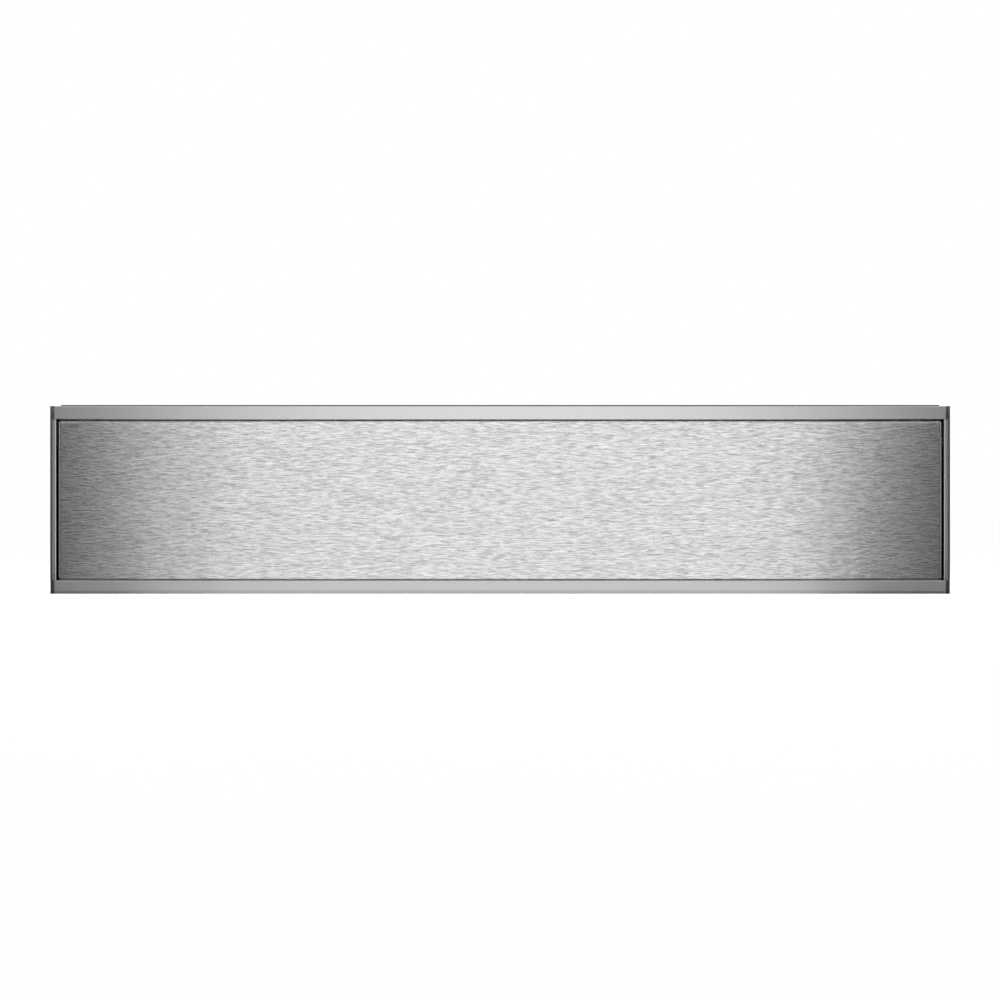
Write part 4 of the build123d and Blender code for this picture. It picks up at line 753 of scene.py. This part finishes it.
def cage_with_balls(node_name, body):
    """Retainer strip with a full row of balls in its two lips."""
    boxes = [(low, high) for _, low, high in solids_of(node_name)]
    strip_low, strip_high = max(boxes, key=lambda box: box[1].y - box[0].y)
    balls = [box for box in boxes if box[1].y - box[0].y < BALL_AT_MOST]
    sample_low, sample_high = balls[0]
    radius = (sample_high.y - sample_low.y) / 2
    ball_x = (sample_low.x + sample_high.x) / 2
    levels = sorted({round((low.z + high.z) / 2, 5) for low, high in balls})
    start = min((low.y + high.y) / 2 for low, high in balls)
    end = max((low.y + high.y) / 2 for low, high in balls)
    side = math.copysign(1, ball_x)
    web = strip_high.x if side > 0 else strip_low.x
    lip = strip_low.x if side > 0 else strip_high.x
    inner = web - side * CAGE_SHEET
    section = [
        (lip, strip_low.z),
        (web, strip_low.z),
        (web, strip_high.z),
        (lip, strip_high.z),
        (lip, strip_high.z - CAGE_SHEET),
        (inner, strip_high.z - CAGE_SHEET),
        (inner, strip_low.z + CAGE_SHEET),
        (lip, strip_low.z + CAGE_SHEET),
    ]
    bm = bmesh.new()
    front, back = [
        [bm.verts.new((x, y, z)) for x, z in section] for y in (strip_low.y, strip_high.y)
    ]
    band(bm, front, back)
    bm.faces.new(front)
    bm.faces.new(list(reversed(back)))
    for index in range(BALLS_IN_ROW):
        y = start + (end - start) * index / (BALLS_IN_ROW - 1)
        for level in levels:
            ball(bm, (ball_x, y, level), radius)
    part = finish_mesh(node_name + "_detail", bm, "runner_steel", body, smooth=CAGE_SHARP_FROM)
    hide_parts(node_name)


# Printed marks: flat outlines, with so many steps round a corner and round the end of a bar
CORNER_STEPS = 6
BAR_END_STEPS = 6
PRINT = 0.03 * mm


def rounded_loop(low, high, radius):
    """Corners of a rounded rectangle in X and Y, anticlockwise."""
    points = []
    corners = (
        (high[0] - radius, high[1] - radius, 0),
        (low[0] + radius, high[1] - radius, 90),
        (low[0] + radius, low[1] + radius, 180),
        (high[0] - radius, low[1] + radius, 270),
    )
    for x, y, first in corners:
        for step in range(CORNER_STEPS + 1):
            angle = math.radians(first + 90 * step / CORNER_STEPS)
            points.append((x + radius * math.cos(angle), y + radius * math.sin(angle)))
    return points


def circle_loop(x, y, radius, sides):
    """Corners of a circle."""
    steps = [2 * math.pi * index / sides for index in range(sides)]
    return [(x + radius * math.cos(angle), y + radius * math.sin(angle)) for angle in steps]


def bar_loop(x, y, length, width, angle):
    """Corners of a round-ended bar about a point."""
    half = length / 2 - width / 2
    points = []
    for end, first in ((1, -90), (-1, 90)):
        for step in range(BAR_END_STEPS + 1):
            turn = math.radians(first + 180 * step / BAR_END_STEPS)
            u = end * half + width / 2 * math.cos(turn)
            v = width / 2 * math.sin(turn)
            points.append((u, v))
    cosine, sine = math.cos(math.radians(angle)), math.sin(math.radians(angle))
    return [(x + u * cosine - v * sine, y + u * sine + v * cosine) for u, v in points]


def plate_between(bm, outer, inner, low, high):
    """Flat ring between two loops with the same number of corners."""
    rows = []
    for loop, level in ((outer, low), (outer, high), (inner, high), (inner, low)):
        rows.append([bm.verts.new((x, y, level)) for x, y in loop])
    rows.append(rows[0])
    for first, second in zip(rows, rows[1:]):
        band(bm, first, second)


def flat_plate(bm, loop, low, high):
    """Thin plate with one outline."""
    bottom = [bm.verts.new((x, y, low)) for x, y in loop]
    top = [bm.verts.new((x, y, high)) for x, y in loop]
    bm.faces.new(list(reversed(bottom)))
    bm.faces.new(top)
    band(bm, bottom, top)


# Border of the lid, and the rows of dots inside it
BORDER_EDGE = 1.6 * mm
BORDER_WIDTH = 9.0 * mm
BORDER_OUTER_CORNER = 10 * mm
BORDER_INNER_CORNER = 4 * mm
BORDER_GAP = 0.01 * mm
DOT_RADII = (0.62 * mm, 0.46 * mm, 0.3 * mm)
DOT_PITCH = 2.4 * mm
DOT_SIDES = 6
ROW_PITCH = 1.75 * mm
FIRST_ROW = 0.75


def inset(low, high, width):
    """Corners of a rectangle made smaller by a width on every side."""
    return (low[0] + width, low[1] + width), (high[0] - width, high[1] - width)


def dot_places(start, end, shift):
    """Places of dots along a row."""
    count = int((end - start - shift) / DOT_PITCH)
    return [start + shift + index * DOT_PITCH for index in range(count + 1)]


def lid_border():
    """Dark border printed under the glass, which fades inwards in three rows of dots."""
    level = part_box("counter_strip")[1].z - BORDER_GAP
    outer = inset(*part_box("lid_glass"), BORDER_EDGE)
    inner = inset(*outer, BORDER_WIDTH)
    bm = bmesh.new()
    plate_between(
        bm,
        rounded_loop(*outer, BORDER_OUTER_CORNER),
        rounded_loop(*inner, BORDER_INNER_CORNER),
        level - PRINT,
        level,
    )
    for row, radius in enumerate(DOT_RADII):
        (x0, y0), (x1, y1) = inset(*inner, (row + FIRST_ROW) * ROW_PITCH)
        shift = DOT_PITCH / 2 if row % 2 else 0.0
        dots = [(x, y) for y in (y0, y1) for x in dot_places(x0, x1, shift)]
        dots += [(x, y) for x in (x0, x1) for y in dot_places(y0, y1, shift)[1:-1]]
        for x, y in dots:
            loop = circle_loop(x, y, radius, DOT_SIDES)
            bm.faces.new([bm.verts.new((u, v, level)) for u, v in loop])
    finish_mesh("lid_border", bm, "glass_print", "lid")


# Marks of the touch control: rings with signs in them at both ends and at three keys, each key
# followed by bars for its level
MARK_LINE = 0.45 * mm
RING_SIDES = 32
END_RING = 4.6 * mm
KEY_RING = 4.2 * mm
POWER_X = -96 * mm
KEY_XS = (-58 * mm, 6 * mm, 58 * mm)
START_X = 98 * mm
STROKE_ABOVE, STROKE_LENGTH = 3.4 * mm, 4.4 * mm
SIGN_LENGTH = 3.6 * mm
BARS_FROM, BAR_PITCH = 10 * mm, 6.5 * mm
BAR_LENGTH, BAR_WIDTH = 4.2 * mm, 1.1 * mm
ARROW_X, ARROW_LENGTH, ARROW_SLOPE = 97.3 * mm, 3.4 * mm, 58


def control_marks():
    """Plain touch marks on the control glass."""
    low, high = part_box("control_glass")
    bottom, top = high.z - PRINT, high.z + PRINT / 2
    middle = (low.y + high.y) / 2
    bm = bmesh.new()

    def ring(x, radius):
        outer = circle_loop(x, middle, radius, RING_SIDES)
        inner = circle_loop(x, middle, radius - MARK_LINE, RING_SIDES)
        plate_between(bm, outer, inner, bottom, top)

    def bar(x, length, width=MARK_LINE, angle=0.0, above=0.0):
        flat_plate(bm, bar_loop(x, middle + above, length, width, angle), bottom, top)

    ring(POWER_X, END_RING)
    bar(POWER_X, STROKE_LENGTH, angle=90, above=STROKE_ABOVE)
    for number, x in enumerate(KEY_XS):
        ring(x, KEY_RING)
        bar(x, SIGN_LENGTH)
        if number != 0:
            bar(x, SIGN_LENGTH, angle=90)
        for step in range(3):
            bar(x + BARS_FROM + BAR_PITCH * step, BAR_LENGTH, BAR_WIDTH)
    ring(START_X, END_RING)
    for slope in (ARROW_SLOPE, -ARROW_SLOPE):
        bar(ARROW_X, ARROW_LENGTH, angle=slope)
    finish_mesh("control_marks", bm, "mark_print", "drawer")


# Stage

def glow_material(name, strength, stops):
    """Emission that fades left and right, alike on every line that the front mirrors forwards."""
    material = bpy.data.materials.new(name)
    material.use_nodes = True
    graph = Graph(material.node_tree)
    graph.tree.nodes.clear()
    glow = graph.add("ShaderNodeEmission")
    glow.inputs["Strength"].default_value = strength
    graph.join(glow.outputs[0], graph.add("ShaderNodeOutputMaterial").inputs["Surface"])
    place = graph.apart(graph.add("ShaderNodeTexCoord").outputs["Object"])
    front = cad_box[0].y
    far = front - CAMERA_DISTANCE
    widening = graph.spread(place["Y"], 1.0, 2.0, start=front, end=far, clamp=False)
    across = graph.sums(place["X"], widening, operation="DIVIDE")
    share = graph.spread(across, 0.0, 1.0, start=-LIGHT_REACH, end=LIGHT_REACH)
    levels = [(0.5 + x / (2 * LIGHT_REACH), level) for x, level in stops]
    graph.join(graph.ramp(share, levels), glow.inputs["Color"])
    return material


def staged(name, corners, material):
    """Four-cornered sheet with one material, for the floor and the cards of the stage."""
    mesh = bpy.data.meshes.new(name)
    mesh.from_pydata(corners, [], [(0, 1, 2, 3)])
    mesh.materials.append(material)
    sheet = new_object(name, mesh)
    return sheet


def glowing_card(name, corners, strength, stops):
    """Card that only reflections and lit surfaces see."""
    card = staged(name, corners, glow_material(name, strength, stops))
    card.visible_camera = False
    card.visible_shadow = False


def floor():
    """Pale floor. Reflections see it darker, as they would past a photograph's cut-out ground."""
    shader = Shader("floor", Roughness=0.9, Specular_IOR_Level=0.0, Emission_Color=(1, 1, 1, 1))
    seen = shader.add("ShaderNodeLightPath").outputs["Is Camera Ray"]
    shader.colour(shader.mixed(seen, grey(FLOOR_MIRRORED), grey(FLOOR_SEEN)))
    lift = shader.sums(seen, FLOOR_LIFT, operation="MULTIPLY")
    shader.join(lift, shader.surface.inputs["Emission Strength"])
    plan = ((-1, -1), (1, -1), (1, 1), (-1, 1))
    staged("floor", [(x * FLOOR_REACH, y * FLOOR_REACH, 0) for x, y in plan], shader.material)


def studio_world():
    """White ground to the eye; for light and reflections, a tent that is brighter higher up."""
    world = bpy.data.worlds.new("studio")
    bpy.context.scene.world = world
    world.use_nodes = True
    graph = Graph(world.node_tree)
    graph.tree.nodes.clear()
    seen = graph.add("ShaderNodeBackground")
    seen.inputs["Color"].default_value = (1, 1, 1, 1)
    tent = graph.add("ShaderNodeBackground")
    direction = graph.apart(graph.add("ShaderNodeTexCoord").outputs["Generated"])
    above = graph.ramp(direction["Z"], TENT_STOPS)
    least = graph.spread(
        direction["Y"],
        0.0,
        LEAST_LEVEL,
        start=FRONT_ENDS[0],
        end=FRONT_ENDS[1],
        interpolation_type="SMOOTHSTEP",
    )
    graph.join(graph.sums(above, least, operation="MAXIMUM"), tent.inputs["Color"])
    ray = graph.add("ShaderNodeLightPath").outputs
    under_glass = graph.sums(ray["Diffuse Depth"], ray["Is Transmission Ray"], operation="MINIMUM")
    boost = graph.sums(under_glass, UNDER_GLASS_BOOST, operation="MULTIPLY")
    graph.join(graph.sums(boost, 1.0), tent.inputs["Strength"])
    choose = graph.add("ShaderNodeMixShader")
    sources = (ray["Is Camera Ray"], tent.outputs[0], seen.outputs[0])
    for source, socket in zip(sources, choose.inputs):
        graph.join(source, socket)
    graph.join(choose.outputs[0], graph.add("ShaderNodeOutputWorld").inputs["Surface"])


def soft_lamp():
    """Wide lamp above, aimed at the object. Neither eye, gloss nor glass shows it."""
    data = bpy.data.lights.new("top_softbox", "AREA")
    data.shape = "RECTANGLE"
    data.size, data.size_y = LAMP_SIZE
    data.energy = LAMP_POWER
    lamp = new_object("top_softbox", data)
    lamp.location = LAMP_PLACE
    lamp.rotation_euler = (-Vector(LAMP_PLACE)).to_track_quat("-Z", "Y").to_euler()
    lamp.visible_camera = False
    lamp.visible_glossy = False
    lamp.visible_transmission = False


def camera():
    """Straight on to the front, a long way off, with the front as large as in the photograph."""
    low, high = cad_box
    pixel = (high.x - low.x) / FRONT_PIXELS
    data = bpy.data.cameras.new("camera")
    data.sensor_width = SENSOR_WIDTH
    data.lens = SENSOR_WIDTH * CAMERA_DISTANCE / (pixel * PHOTO_PIXELS)
    view = new_object("camera", data)
    centre = (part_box("bottom_rail")[0].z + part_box("top_rail")[1].z) / 2
    off_x = (FRONT_CENTRE_PIXEL[0] - PHOTO_PIXELS / 2) * pixel
    off_z = (PHOTO_PIXELS / 2 - FRONT_CENTRE_PIXEL[1]) * pixel
    view.location = (-off_x, low.y - CAMERA_DISTANCE, centre - off_z)
    view.rotation_euler = (math.radians(90), 0, 0)
    bpy.context.scene.camera = view


def stage():
    """Floor, surroundings, cards and lamp."""
    floor()
    studio_world()
    near = cad_box[0].y - CARD_GAP
    far = near - CARD_DISTANCE
    wide, narrow = CARD_HALF_WIDTH, FLOOR_CARD_NEAR_HALF_WIDTH
    walls = (
        ("low_softbox", LOW_CARD_BOTTOM, LOW_CARD_HEIGHT, LOW_WALL_STOPS),
        ("high_softbox", LOW_CARD_HEIGHT, CARD_HEIGHT, HIGH_WALL_STOPS),
    )
    for name, low, high, stops in walls:
        corners = [(-wide, far, low), (wide, far, low), (wide, far, high), (-wide, far, high)]
        glowing_card(name, corners, WALL_GLOW, stops)
    plan = ((-narrow, near), (narrow, near), (wide, far), (-wide, far))
    corners = [(x, y, FLOOR_CARD_LEVEL) for x, y in plan]
    glowing_card("floor_card", corners, FLOOR_GLOW, FLOOR_STOPS)
    soft_lamp()
    bpy.context.scene.view_settings.view_transform = "Standard"


dress_nodes()
dress_inner_parts()
screws_for("housing_screws", "runner_steel", "housing")
screws_for("deck_screws", "hinge_metal", "drawer")
for side_name in ("left", "right"):
    for place_name in ("outer_cage", "inner_cage"):
        cage_with_balls(f"{side_name}_{place_name}", f"{side_name}_{place_name}")
lid_border()
control_marks()
stage()
camera()
